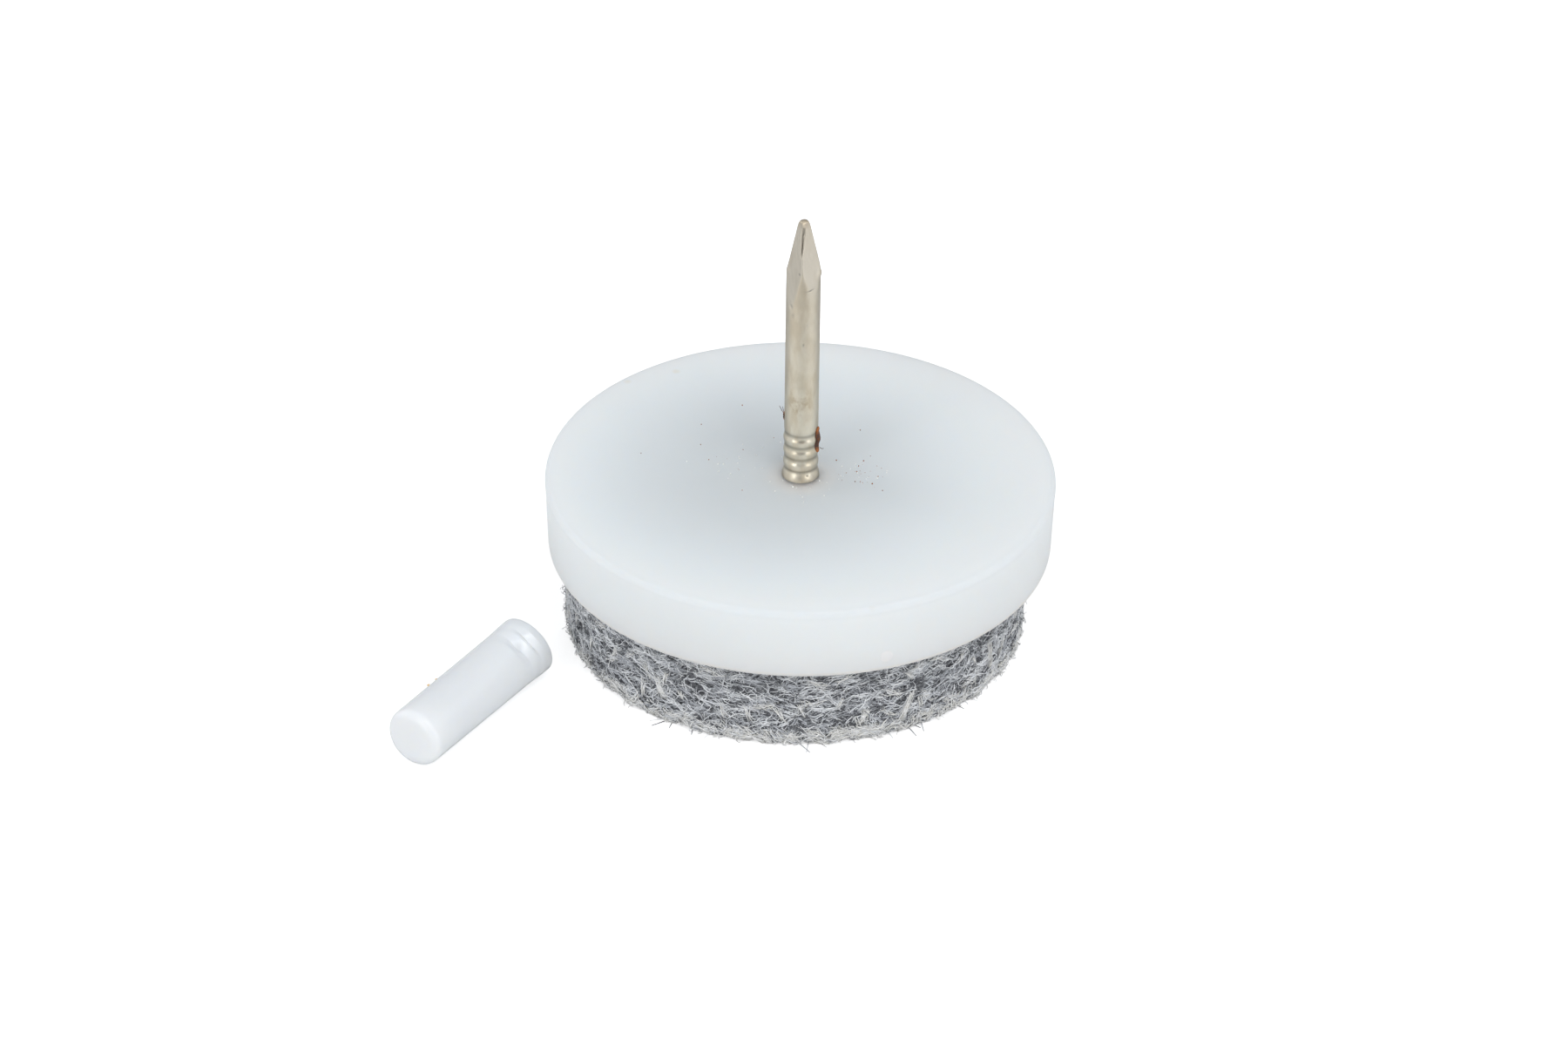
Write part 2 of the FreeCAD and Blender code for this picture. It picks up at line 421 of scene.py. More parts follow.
def discMaterial():
    material, tree, shader = newMaterial("milky_plastic")
    point = objectPoint(tree)
    # Painted shade: the colour darkens from the rim towards a place beside the nail, for the light the
    # plastic lets in at its sides
    moved = vectorMath(tree, "ADD", point, (-disc["deepestShadeAside"] * mm, 0.0, 0.0))
    away = vectorMath(tree, "LENGTH", vectorMath(tree, "MULTIPLY", moved, (1.0, 1.0, 0.0)))
    fade = ramp(tree, away, *metres(disc["fade"]))
    colour = mixColour(tree, fade, disc["shadedMiddleColour"], disc["rimColour"])
    cloud = mask(tree, mottle, Scale=260.0, Detail=2.0, Low=0.3, High=0.7)
    colour = mixColour(tree, scaled(tree, cloud, disc["cloudShare"]), colour, disc["cloudColour"])
    # Painted light: a warm, lighter patch round the nail's foot that lifts the shade where the nail stands in
    # the seat
    foot = spotAt(tree, (*disc["footLightPlace"], seatZ), disc["footLightSize"])
    colour = mixColour(tree, scaled(tree, foot, disc["warmShare"]), colour, disc["warmColour"])
    for x, y in disc["stains"]:
        stain = spotAt(tree, (x, y, seatZ), disc["stainSize"])
        colour = mixColour(tree, scaled(tree, stain, disc["stainShare"]), colour, disc["stainColour"])
    gate = around(discHigh[0], bearingTurn(disc["gateBearing"]), discLow[2] + disc["gateRise"])
    rubbed = spotAt(tree, gate, disc["gateSize"], disc["gateRagged"], Scale=4000.0)
    colour = mixColour(tree, rubbed, colour, disc["gateColour"])
    # Painted shade on the seat's rounded edge, where the lights would draw a bright line
    colour = mixColour(tree, attribute(tree, "rimShade"), colour, disc["edgeShadeColour"])
    band = metres(discLow[2] + edge for edge in disc["creamBand"])
    glue = ramp(tree, along(tree, point, "Z"), *band, disc["creamShare"], 0.0)
    colour = mixColour(tree, glue, colour, disc["creamColour"])
    grain = mask(tree, mottle, Scale=3500.0, Detail=4.0, Low=0.2, High=0.8)
    bumped(tree, shader, grain, 0.004 * mm, 0.35)
    setInputs(tree, shader, {
        "Base Color": colour,
        "Roughness": scaled(tree, grain, 0.10, 0.50),
        "IOR": 1.46,
        "Specular IOR Level": 0.14,
        "Subsurface Weight": 0.8,
        "Subsurface Radius": (0.9, 1.0, 1.1),
        "Subsurface Scale": 3.2 * mm,
    })
    return material


def seatDish(radius):
    # Depth of the seat's shrinkage: a bell about a ring.
    return disc["sink"] * bell(radius - disc["sinkRadius"], disc["sinkWidth"])


def discSection(foot):
    # Radius and height round the section: underside, bevel, drafted wall, rounded edge, seat, bore and head.
    low, rim, tilt = discLow[2], discHigh[0], disc["draft"]
    bevel, edge = disc["underBevel"], disc["rimRound"]
    before, after = disc["hold"]
    bore, head = insert["radius"], insert["headRadius"]
    outside, inside = disc["wallEnds"]
    underEnd = (foot - bevel - before, low)
    wallStart = (foot + outside, low + bevel + after)
    wallTop = (rim - inside, seatZ - edge - before)
    lipFoot = (bore + disc["lipWidth"], seatZ)
    lipTop = (bore - disc["lipBite"], seatZ + disc["lipRise"])
    return np.concatenate([
        line((head, low), underEnd, 8),
        line(underEnd, (foot - bevel, low), 1),
        arc((foot - bevel, low + bevel), bevel, -90.0, -tilt, 7),
        line(wallStart, wallTop, 26),
        arc((rim - edge, seatZ - edge), edge, -tilt, 90.0, 12),
        line((rim - edge - after, seatZ), lipFoot, 46),
        line(lipFoot, lipTop, 3),
        line(lipTop, (bore, headTop), 4),
        line((bore, headTop), (head, headTop), 3),
        line((head, headTop), (head, low), 3),
    ])


def discTurns():
    # Even angles all round, with closer ones over the gate mark.
    even = roundTurns(disc["segments"])
    middle = bearingTurn(disc["gateBearing"])
    close = middle + np.radians(np.linspace(-disc["gateSpan"], disc["gateSpan"], disc["gateColumns"]))
    apart = np.abs(fromFront(even, disc["gateBearing"])) > np.radians(disc["gateSpan"] + 0.1)
    return np.sort(np.concatenate([even[apart], close]))


def makeDisc():
    # The section spun about the nail's axis, less the dish; the gate mark is a flat-topped hump on the wall.
    low, rim = discLow[2], discHigh[0]
    foot = rim - (seatZ - low) * np.tan(np.radians(disc["draft"]))
    section = discSection(foot)
    turns = discTurns()
    grid = spun(section, turns)
    radius = np.hypot(grid[..., 0], grid[..., 1])
    onTop = (section[:, 1] > seatZ - 1e-6)[:, None]
    grid[..., 2] -= np.where(onTop, seatDish(radius), 0.0)
    across = fromFront(turns, disc["gateBearing"])[None, :] * radius
    away = np.hypot(across, grid[..., 2] - (low + disc["gateRise"]))
    hump = disc["gateStandOut"] * logistic(away - disc["gateWidth"] / 2, disc["gateSoftness"])
    onWall = radius > foot - disc["hold"][0]
    grid[..., :2] *= (1.0 + np.where(onWall, hump, 0.0) / radius)[..., None]
    # Painted shade on the seat's rounded edge: strongest a little inside the rounding, fading over its reach
    depth = disc["rimShadeDepth"] * disc["rimRound"]
    fromEdge = np.hypot(radius - (rim - depth), grid[..., 2] - (seatZ - depth))
    parts = closedGrid(grid, wrapRows=True)
    piece = makePiece("milky_disc", *parts, discMaterial(), "disc_plastic", disc["sharp"])
    setValues(piece, "rimShade", disc["edgeShadeShare"] * bell(fromEdge, disc["rimShadeReach"]))
    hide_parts("glide_disc")


makeDisc()


# Nail

nail = {
    "columns": 176,
    "rows": (96, 56, 120, 14),  # over the ridges, the plain wire, the point and the rounded tip
    "seed": 41,
    "wire": 1.0,  # radius
    "groove": 0.981,  # radius at the bottom of the grooves
    "ridge": 1.036,  # radius at the crest of the ridges
    "ridgeCount": 3,
    "ridgePitch": 0.807,
    "ridgesRise": 0.69,  # first groove above the seat
    "crestShare": 0.42,  # place of a ridge's crest in its pitch, and where its upper slope ends
    "slopeShare": 0.82,
    "crestRise": 0.8,  # power of the sine below the crest; smaller is steeper
    "footStart": 0.1,  # rise at which the foot starts to narrow, and its end below the first groove
    "footGap": 0.02,
    "runOut": 0.16,  # from the last groove to the full wire
    "pointLength": 3.4,
    "pointRows": 5.8,  # length with close rows, and with rounded corners between flats and wire
    "softReach": 6.0,
    "tipRadius": 0.37,
    "tipTurn": 86.0,  # degrees of the rounded tip, the rest is its flat end
    "pointTurn": -9.0,  # degrees, the point's corners from the front
    "flats": [-45.0, 45.0, 135.0, 225.0],  # bearings from the point's front
    "flatRunOuts": [5.5, 4.35, 4.9, 5.3],  # where each flat runs out, from the tip
    "flatTip": 0.74,  # reach of a flat at the tip, as a share of the tip's radius
    "edgeSoftness": 38.0,  # larger is sharper
    "pressedEdge": 0.02,
    "sharp": 50.0,  # degrees, above which an edge is left unsmoothed
    "slitTop": 0.36,  # below the tip
    "slitEnd": 2.15,
    "slitWidth": 0.105,  # at its top
    "slitNarrowing": 0.62,  # share of its width that it loses downwards
    "slitBearing": (3.0, -5.0),  # degrees from the corner at its top, and what is added to its end
    "slitDepth": 0.14,
    "slitFade": 0.35,  # power of the sine that closes its ends
    # painted shade in the slit
    "slitShade": 0.6,
    "notch": (24.0, 13.05, 0.2, 0.04, 0.022),  # tool mark: bearing, height, half length, half width, depth
    "notchBow": (0.15, 0.5),  # its slant and curve
    # painted shade in the tool mark
    "notchShade": 0.7,
    "burrs": {-90.0: 0.03, 90.0: 0.065},  # at the shoulders: bearing from the point's front, stand-out
    "burrSize": (0.24, 0.2),  # radians round the nail, length along it
    # Small marks: bearing from the front in degrees, height above the seat, size, depth, darkness
    "marks": [
        (-46.0, 11.85, 0.10, 0.04, 0.15),
        (-37.0, 11.3, 0.12, 0.03, 0.2),
        (3.0, 9.4, 0.045, 0.05, 0.9),
        (15.0, 10.8, 0.045, 0.03, 0.2),
        (18.0, 10.55, 0.05, 0.03, 0.2),
        (-53.0, 10.4, 0.06, 0.03, 0.15),
        (-30.0, 8.8, 0.05, 0.02, 0.2),
        (-17.0, 14.1, 0.06, 0.03, 0.5),
        (-3.0, 0.62, 0.06, 0.03, 0.5),
        (22.0, 0.42, 0.05, 0.04, 0.7),
        (160.0, 9.0, 0.06, 0.04, 0.4),
        (205.0, 6.2, 0.05, 0.04, 0.3),
        (120.0, 11.0, 0.06, 0.03, 0.3),
        (250.0, 4.4, 0.05, 0.03, 0.3),
    ],
    "unevenness": 0.0018,
    "unevenWaves": (30, 16, 0.5),
    # painted shade along the grooves
    "grooveShade": 0.4,
    "grooveShadeWidth": 0.12,
    "footSoil": 0.2,
    "footSoilBand": (0.25, 0.6),  # rises between which it fades
    "footSoilPatches": 0.5,
    "patchWaves": (12, 9, 0.8),
    "burnishedFrom": (0.3, 0.8),  # rises over which the burnish of the ridges begins
    "burnishedTo": (-0.1, 0.3),  # and ends, from the end of the ridges
    "roughness": 0.40,
    "drawnRough": 0.06,
    "cloudRough": 0.06,
    "burnishedRough": -0.12,
    "paleColour": (0.90, 0.82, 0.675, 1.0),
    "warmColour": (0.68, 0.58, 0.425, 1.0),
    "warmShare": 0.6,
    "pressedColour": (0.78, 0.73, 0.64, 1.0),  # the flats of the point
    "pressedShare": 0.6,
    "edgeShadeColour": (0.40, 0.37, 0.31, 1.0),  # painted shade towards the outline, where the wire turns away from the lights
    "edgeShadeShare": 0.68,
    "shadeFacing": (0.22, 0.75),
    "stainColour": (0.46, 0.31, 0.14, 1.0),
    "stainPlace": (-0.15, -1.0, 5.3),  # from the middle of the seat
    "stainSize": (0.3, 0.9),
    "stainShare": 0.45,
    "tipStainSize": (0.15, 0.9),
    "tipStainRagged": 0.4,
    "tipStainShare": 0.35,
    # dark of the dirt, and of the painted shade in the grooves, slits and tool mark
    "grimeAndShadeColour": (0.07, 0.055, 0.035, 1.0),
}
lastGroove = nail["ridgesRise"] + nail["ridgeCount"] * nail["ridgePitch"]
ridgesEnd = lastGroove + nail["runOut"]


def nailMaterial():
    material, tree, shader = newMaterial("plated_wire")
    cloud = mask(tree, mottle, Stretch=(1.0, 1.0, 0.35), Scale=1300.0, Detail=5.0, Low=0.38, High=0.66)
    colour = mixColour(tree, scaled(tree, cloud, nail["warmShare"]), nail["paleColour"], nail["warmColour"])
    pressed = scaled(tree, attribute(tree, "pressed"), nail["pressedShare"])
    colour = mixColour(tree, pressed, colour, nail["pressedColour"])
    patches = mask(tree, mottle, Stretch=(1.0, 1.0, 0.7), Scale=2600.0, Detail=3.0, Low=0.42, High=0.66)
    x, y, rise = nail["stainPlace"]
    side = spotAt(tree, (x, y, seatZ + rise), nail["stainSize"], Squeeze=(1.0, 1.0, 0.8))
    stained = scaled(tree, numberMath(tree, "MULTIPLY", patches, side), nail["stainShare"])
    colour = mixColour(tree, stained, colour, nail["stainColour"])
    tip = spotAt(tree, (0.0, 0.0, nailHigh[2]), nail["tipStainSize"], nail["tipStainRagged"])
    colour = mixColour(tree, scaled(tree, tip, nail["tipStainShare"]), colour, nail["stainColour"])
    # Painted shade towards the outline, where the wire faces away from the viewer and the lights
    facing = addNode(tree, "ShaderNodeLayerWeight", {"Blend": 0.5}).outputs["Facing"]
    outlineShade = scaled(tree, ramp(tree, facing, *nail["shadeFacing"]), nail["edgeShadeShare"])
    colour = mixColour(tree, outlineShade, colour, nail["edgeShadeColour"])
    # Dirt in the pits and at the foot, and painted shade in the grooves, slits and tool mark
    colour = mixColour(tree, attribute(tree, "grimeAndShade"), colour, nail["grimeAndShadeColour"])
    drawn = mask(tree, mottle, Stretch=(1.0, 1.0, 0.04), Scale=9000.0, Detail=3.0, Low=0.25, High=0.75)
    pits = mask(tree, mottle, Scale=5200.0, Detail=2.0, Low=0.28, High=0.42)
    rough = scaled(tree, drawn, nail["drawnRough"], nail["roughness"])
    rough = scaled(tree, attribute(tree, "burnished"), nail["burnishedRough"], rough)
    rough = scaled(tree, cloud, nail["cloudRough"], rough)
    bumped(tree, shader, scaled(tree, drawn, 0.3, pits), 0.004 * mm, 0.15)
    setInputs(tree, shader, {"Base Color": colour, "Roughness": rough, "Metallic": 1.0})
    return material


def shankRadius(rise):
    # Radius of the round wire above the seat: a foot that narrows in a smooth step, ridges that rise as a
    # sine to their crest and fall away above it in a smooth step, then plain wire.
    foot, groove, first, crest = insert["radius"], nail["groove"], nail["ridgesRise"], nail["crestShare"]
    narrowing = foot - (foot - groove) * smoothStep(rise, nail["footStart"], first - nail["footGap"])
    share = np.clip((rise - first) / nail["ridgePitch"], 0.0, nail["ridgeCount"]) % 1.0
    rising = np.sin(np.minimum(share / crest, 1.0) * np.pi / 2) ** nail["crestRise"]
    swelling = np.where(share < crest, rising, 1.0 - smoothStep(share, crest, nail["slopeShare"]))
    ridges = groove + (nail["ridge"] - groove) * swelling
    plain = np.interp(rise, [lastGroove, ridgesEnd], [groove, nail["wire"]])
    return np.where(rise < first, narrowing, np.where(rise < lastGroove, ridges, plain))


def softLeast(values):
    # A rounded minimum: the root of the summed inverse powers.
    power = nail["edgeSoftness"]
    return sum(value ** -power for value in values) ** (-1.0 / power)


def nailRises():
    # Rows up the nail: even steps over the ridges, the plain wire and the point, then a sine over its tip.
    ridges, plain, point, tip = nail["rows"]
    pointStart, tipStart = reach - nail["pointRows"], reach - nail["tipRadius"]
    dome = np.sin(np.linspace(0.0, np.radians(nail["tipTurn"]), tip))
    return np.concatenate([
        np.linspace(0.0, ridgesEnd, ridges, endpoint=False),
        np.linspace(ridgesEnd, pointStart, plain, endpoint=False),
        np.linspace(pointStart, tipStart, point, endpoint=False),
        reach - nail["tipRadius"] * (1.0 - dome),
    ])


def pressedPoint(turns, rise):
    # Radius: the least of the wire, with its round tip, and the four sloping flats, rounded where they meet.
    # The second result is 1 on the flats and 0 on the wire.
    fromTip, tip = reach - rise, nail["tipRadius"]
    dome = np.sqrt(np.clip(tip ** 2 - (tip - fromTip) ** 2, 1e-8, None))
    wire = np.where(fromTip < tip, dome, shankRadius(rise)) + 0.0 * turns
    flats = []
    leastFacing, leastDepth, clear = 0.05, 0.2, 20.0  # a flat that faces away is set clear of the wire
    for bearing, runOut in zip(nail["flats"], nail["flatRunOuts"]):
        facing = np.cos(fromFront(turns, bearing + nail["pointTurn"]))
        flatTip = tip * nail["flatTip"]
        depth = flatTip + (nail["wire"] - flatTip) * (fromTip - tip) / (runOut - tip)
        flat = np.maximum(depth, leastDepth) / np.maximum(facing, leastFacing)
        flats.append(np.where(facing > leastFacing, flat, clear))
    surfaces = [wire, *flats]
    radius = np.where(fromTip < nail["softReach"], softLeast(surfaces), np.min(surfaces, axis=0))
    return radius, logistic(np.min(flats, axis=0) - wire, nail["pressedEdge"])


def wornRadius(turns, rise, radius):
    # Takes slits, tool mark and pits off the radius as bells and adds the burrs as bells; painted shade lies
    # in the grooves, the slits and the tool mark, and dirt in the pits.
    grimeAndShade = np.zeros_like(radius)
    # Painted shade along each groove
    for each in range(nail["ridgeCount"] + 1):
        groove = rise - nail["ridgesRise"] - each * nail["ridgePitch"]
        grimeAndShade = np.maximum(grimeAndShade, nail["grooveShade"] * bell(groove, nail["grooveShadeWidth"]) + 0.0 * turns)
    share = np.clip((reach - rise - nail["slitTop"]) / (nail["slitEnd"] - nail["slitTop"]), 0.0, 1.0)
    within = np.sin(np.pi * share) ** nail["slitFade"] * (share > 0) * (share < 1)
    aside, drift = nail["slitBearing"]
    for side in (0.0, 180.0):
        across = fromFront(turns, side + nail["pointTurn"] + drift * share + aside) * radius
        slit = bell(across, nail["slitWidth"] * (1.0 - nail["slitNarrowing"] * share)) * within
        radius = radius - nail["slitDepth"] * slit
        grimeAndShade = np.maximum(grimeAndShade, nail["slitShade"] * slit)
    shoulder = reach - nail["pointLength"]
    wide, tall = nail["burrSize"]
    for side, standOut in nail["burrs"].items():
        near = bell(fromFront(turns, side + nail["pointTurn"]), wide) * bell(rise - shoulder, tall)
        radius = radius + standOut * near
    bearing, height, half, narrow, depth = nail["notch"]
    slant, curve = nail["notchBow"]
    across = fromFront(turns, bearing) * radius
    crescent = bell(across, half) * bell(rise - height - curve * across ** 2 - slant * across, narrow)
    radius = radius - depth * crescent
    grimeAndShade = np.maximum(grimeAndShade, nail["notchShade"] * crescent)
    for bearing, height, size, depth, soil in nail["marks"]:
        across = fromFront(turns, bearing) * radius
        dent = bell(np.hypot(across, rise - height), size)
        radius = radius - depth * dent
        grimeAndShade = np.maximum(grimeAndShade, soil * dent)
    return radius, grimeAndShade


def makeNail():
    # Radius as a function of angle and height above the seat; the hidden shank and head are a spun section.
    turns = roundTurns(nail["columns"])[None, :]
    rise = nailRises()[:, None]
    radius, pressed = pressedPoint(turns, rise)
    radius, grimeAndShade = wornRadius(turns, rise, radius)
    rng = np.random.default_rng(nail["seed"])
    radius = radius + nail["unevenness"] * ripples(rng, turns, rise, *nail["unevenWaves"])
    patches = 1.0 + nail["footSoilPatches"] * ripples(rng, turns, rise, *nail["patchWaves"])
    foot = (1.0 - smoothStep(rise, *nail["footSoilBand"])) * patches
    grimeAndShade = np.maximum(grimeAndShade, np.clip(nail["footSoil"] * foot, 0.0, 1.0))
    low, shank, head = nailLow[2], insert["radius"], insert["headRadius"]
    hidden = np.concatenate([
        line((0.5, low), (head, low), 5),
        line((head, low), (head, headTop), 3),
        line((head, headTop), (shank, headTop), 4),
        line((shank, headTop), (shank, seatZ), 6),
    ])
    grid = np.concatenate([spun(hidden, turns[0]), around(radius, turns, seatZ + rise)])
    piece = makePiece("steel_nail", *closedGrid(grid), nailMaterial(), "nail_steel", nail["sharp"])
    start, end = nail["burnishedFrom"], [ridgesEnd + edge for edge in nail["burnishedTo"]]
    burnished = smoothStep(rise, *start) - smoothStep(rise, *end) + 0.0 * turns
    for name, shown in {"grimeAndShade": grimeAndShade, "pressed": pressed, "burnished": burnished}.items():
        under = np.zeros(hidden.shape[0] * turns.size)
        setValues(piece, name, np.concatenate([under, shown.ravel(), [0.0, shown[-1].mean()]]))
    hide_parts("nail")


makeNail()


# Felt pad

felt = {
    "columns": 512,
    "rows": (8, 10, 34, 4),  # over the sole, the worn edge, the wall and the top
    "seed": 7,
    "draft": 3.0,  # degrees, the wall opening upwards
    "edgeRound": 0.6,  # height of the worn lower edge
    "edgePull": 0.62,  # how far it turns in, as a share of its height
    "edgeBulge": 0.07,  # its unevenness, and the heights between which that fades
    "bulgeFade": (0.5, 2.4),
    "bulgeWaves": (14, 60, 4.0),
    "bodyInset": 0.16,  # the dark body lies this far inside the fibres' middle
    "bodyRelief": 0.07,
    "bodyWaves": (90, 110, 0.55),
    "bodyGaps": (0.03, 0.02),  # kept free under and above the body
    "topInset": 0.3,  # first row of the top from the wall
    "middleHole": 0.4,  # radius that the fans at the sole and the top close
    "bodyColour": (0.13, 0.135, 0.147, 1.0),
    "bodyPale": (0.52, 0.535, 0.56, 1.0),
}
feltMiddle = (feltLow + feltHigh) / 2
feltTop = feltHigh[2]
feltWide = (feltHigh[0] - feltLow[0]) / 2


def feltRadius(height):
    # Wall radius at a height: a straight draft, turned in along a quarter ellipse at the worn lower edge.
    straight = feltWide - (feltTop - height) * np.tan(np.radians(felt["draft"]))
    rounding = np.clip(1.0 - height / felt["edgeRound"], 0.0, 1.0)
    return straight - felt["edgePull"] * felt["edgeRound"] * (1.0 - np.sqrt(1.0 - rounding ** 2))


def fibreMaterial(name, dark, pale):
    # Matted wool tone: two shades of one colour in small level streaks, with a soft sheen.
    material, tree, shader = newMaterial(name)
    cloud = mask(tree, mottle, Stretch=(1.0, 1.0, 3.5), Scale=2400.0, Detail=3.0, Low=0.36, High=0.64)
    fine = mask(tree, mottle, Scale=9000.0, Detail=2.0, Low=0.2, High=0.8)
    bumped(tree, shader, fine, 0.01 * mm, 0.4)
    setInputs(tree, shader, {
        "Base Color": mixColour(tree, cloud, dark, pale),
        "Roughness": scaled(tree, fine, 0.2, 0.72),
        "Sheen Weight": 0.25,
        "Sheen Roughness": 0.5,
        "Specular IOR Level": 0.25,
    })
    return material


def makeFeltBody():
    # The pad's dense middle: a spun wall roughened by ripples that run mostly level, like the felt's layers.
    rng = np.random.default_rng(felt["seed"])
    soleRows, edgeRows, wallRows, topRows = felt["rows"]
    under, above = felt["bodyGaps"]
    low, high, hole = under, feltTop - above, felt["middleHole"]
    heights = np.concatenate([np.linspace(low, felt["edgeRound"], edgeRows, endpoint=False),
                              np.linspace(felt["edgeRound"], high, wallRows)])
    wall = np.stack([feltRadius(heights) - felt["bodyInset"], heights], axis=-1)
    soleLine = line((hole, low), (wall[0, 0], low), soleRows)
    topLine = line((wall[-1, 0] - felt["topInset"], high), (hole, high), topRows)
    section = np.concatenate([soleLine, wall, topLine])
    turns = roundTurns(felt["columns"])
    grid = spun(section, turns)
    relief = felt["bodyRelief"] * ripples(rng, turns[None, :], section[:, 1, None], *felt["bodyWaves"])
    onWall = np.sin(np.pi * np.clip(heights / feltTop, 0, 1)) ** 0.3  # the relief fades at both edges
    onWall = np.concatenate([np.zeros(soleRows), onWall, np.zeros(topRows)])[:, None]
    radius = np.hypot(grid[..., 0], grid[..., 1])
    grid[..., :2] *= (1.0 + relief * onWall / radius)[..., None]
    grid[..., :2] += feltMiddle[:2]
    material = fibreMaterial("felt_core", felt["bodyColour"], felt["bodyPale"])
    piece = makePiece("felt_body", *closedGrid(grid), material, "felt_wool")
    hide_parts("felt_pad")


# Fibres of the felt

fibre = {
    "steps": 4,  # points along a fibre
    "radii": (0.024, 0.044),
    "taper": 0.45,  # thickness left towards the ends
    "low": 0.1,  # starts of the fibres: lowest, and gap under the top
    "topGap": 0.05,
    "lowest": 0.06,  # the fibres themselves keep above this, and this far under the top
    "underTop": 0.07,
    "floorGap": 0.004,
    "waver": 0.25,
    "swing": 0.05,  # rise and fall in the wall
    "perLock": 9,  # fibres that lie together
    "lockLength": 0.2,  # scatter of a lock's fibres along and across it, and in heading
    "lockWidth": 0.05,
    "lockFan": 0.22,
    "lockShape": {"spread": 0.42, "lengths": (0.6, 1.4), "bend": 1.1},
    "singleShape": {"spread": 0.7, "lengths": (0.5, 1.3), "bend": 1.3},
}
hair = {
    "thinness": 0.6,
    "lengths": (0.25, 0.75),
    "longLengths": (0.5, 0.9),
    "topGap": 0.3,
    "lowest": 0.05,
    "root": -0.12,  # depth in the wall
    "leans": (0.2, 0.85),
    "wander": 0.9,
    "curls": (1.2, 2.0),
}
tuft = {
    "width": 0.07,
    "fan": 0.22,
    "shares": (0.6, 1.0),  # of the tuft's length
    "depths": (-0.02, 0.12),
    "bow": 0.06,
}
sole = {
    "inset": 0.4,  # from the wall
    "heights": (0.035, 0.06),
    "lengths": (1.5, 3.5),
    "wander": 0.8,
}


def scattered(rng, count, low, high, spread):
    # Bearing, height and heading of fibres strewn evenly over the wall; headings keep near the level.
    bearing = rng.uniform(0.0, 2 * np.pi, count)
    height = rng.uniform(low, high, count)
    heading = rng.normal(0.0, spread, count) + np.pi * rng.integers(0, 2, count)
    return bearing, height, heading


def inLocks(rng, count, low, high, spread):
    # The same for fibres that lie together: each lock's start, handed to its fibres with a little scatter.
    starts = scattered(rng, count, low, high, spread)
    bearing, height, heading = (np.repeat(part, fibre["perLock"]) for part in starts)
    ahead = rng.normal(0.0, fibre["lockLength"], len(bearing))
    across = rng.normal(0.0, fibre["lockWidth"], len(bearing))
    bearing = bearing + (ahead * np.cos(heading) - across * np.sin(heading)) / feltWide
    height = np.clip(height + ahead * np.sin(heading) + across * np.cos(heading), low, high)
    return bearing, height, heading + rng.normal(0.0, fibre["lockFan"], len(bearing))


def wallFibres(rng, starts, lengths, depths, bend):
    # Each fibre creeps along the wall through its start: its heading turns steadily and wavers, the steps add
    # up to a path in bearing and height, and its depth in the wall rises and falls once or twice.
    bearing, height, heading = (part[:, None] for part in starts)
    count = len(bearing)
    share = np.linspace(0.0, 1.0, fibre["steps"])[None, :]
    length = rng.uniform(*lengths, (count, 1))
    turning = rng.normal(0.0, bend, (count, 1)) * (share - 0.5)
    phase = rng.uniform(0.0, 2 * np.pi, (2, count, 1))
    waver = fibre["waver"] * rng.normal(0.0, 1.0, (count, 1)) * np.sin(2 * np.pi * share + phase[0])
    angle = heading + turning + waver
    stride = length / (fibre["steps"] - 1)
    level = np.cumsum(np.cos(angle), axis=1) * stride
    upright = np.cumsum(np.sin(angle), axis=1) * stride
    level -= level.mean(axis=1, keepdims=True)
    upright -= upright.mean(axis=1, keepdims=True)
    height = np.clip(height + upright, fibre["lowest"], feltTop - fibre["underTop"])
    middleDepth = rng.uniform(*depths, (count, 1))
    swing = fibre["swing"] * np.sin(2 * np.pi * share * rng.uniform(0.5, 1.5, (count, 1)) + phase[1])
    return placedOnWall(bearing + level / feltWide, feltRadius(height) + middleDepth + swing, height)


def placedOnWall(bearing, distance, height):
    # Points from bearing, distance and height, with the outward direction at each; the lower edge is uneven.
    uneven = ripples(np.random.default_rng(felt["seed"]), bearing, height, *felt["bulgeWaves"])
    distance = distance + felt["edgeBulge"] * uneven * (1.0 - smoothStep(height, *felt["bulgeFade"]))
    outward = around(1.0, bearing, 0.0)
    path = outward * distance[..., None]
    path[..., 2] = height
    return path + np.array([feltMiddle[0], feltMiddle[1], 0.0]), outward


def strayHairs(rng, count, low, high, lengths):
    # A hair leaves the wall at a slant and curls: it stands out more along it while bearing and height drift.
    share = np.linspace(0.0, 1.0, fibre["steps"])[None, :]
    bearing = rng.uniform(0.0, 2 * np.pi, (count, 1))
    height = rng.uniform(low, high, (count, 1))
    length = rng.uniform(*lengths, (count, 1))
    lean = rng.uniform(*hair["leans"], (count, 1))
    heading = rng.uniform(0.0, 2 * np.pi, (count, 1)) + rng.normal(0.0, hair["wander"], (count, 1)) * share
    standOut = length * lean * np.sin(share * rng.uniform(*hair["curls"], (count, 1)))
    distance = feltRadius(height) + hair["root"] + standOut
    drift = length * np.sqrt(1.0 - lean ** 2) * share
    height = np.clip(height + drift * np.sin(heading), hair["lowest"], feltTop - fibre["underTop"])
    return placedOnWall(bearing + drift * np.cos(heading) / feltWide, distance, height)


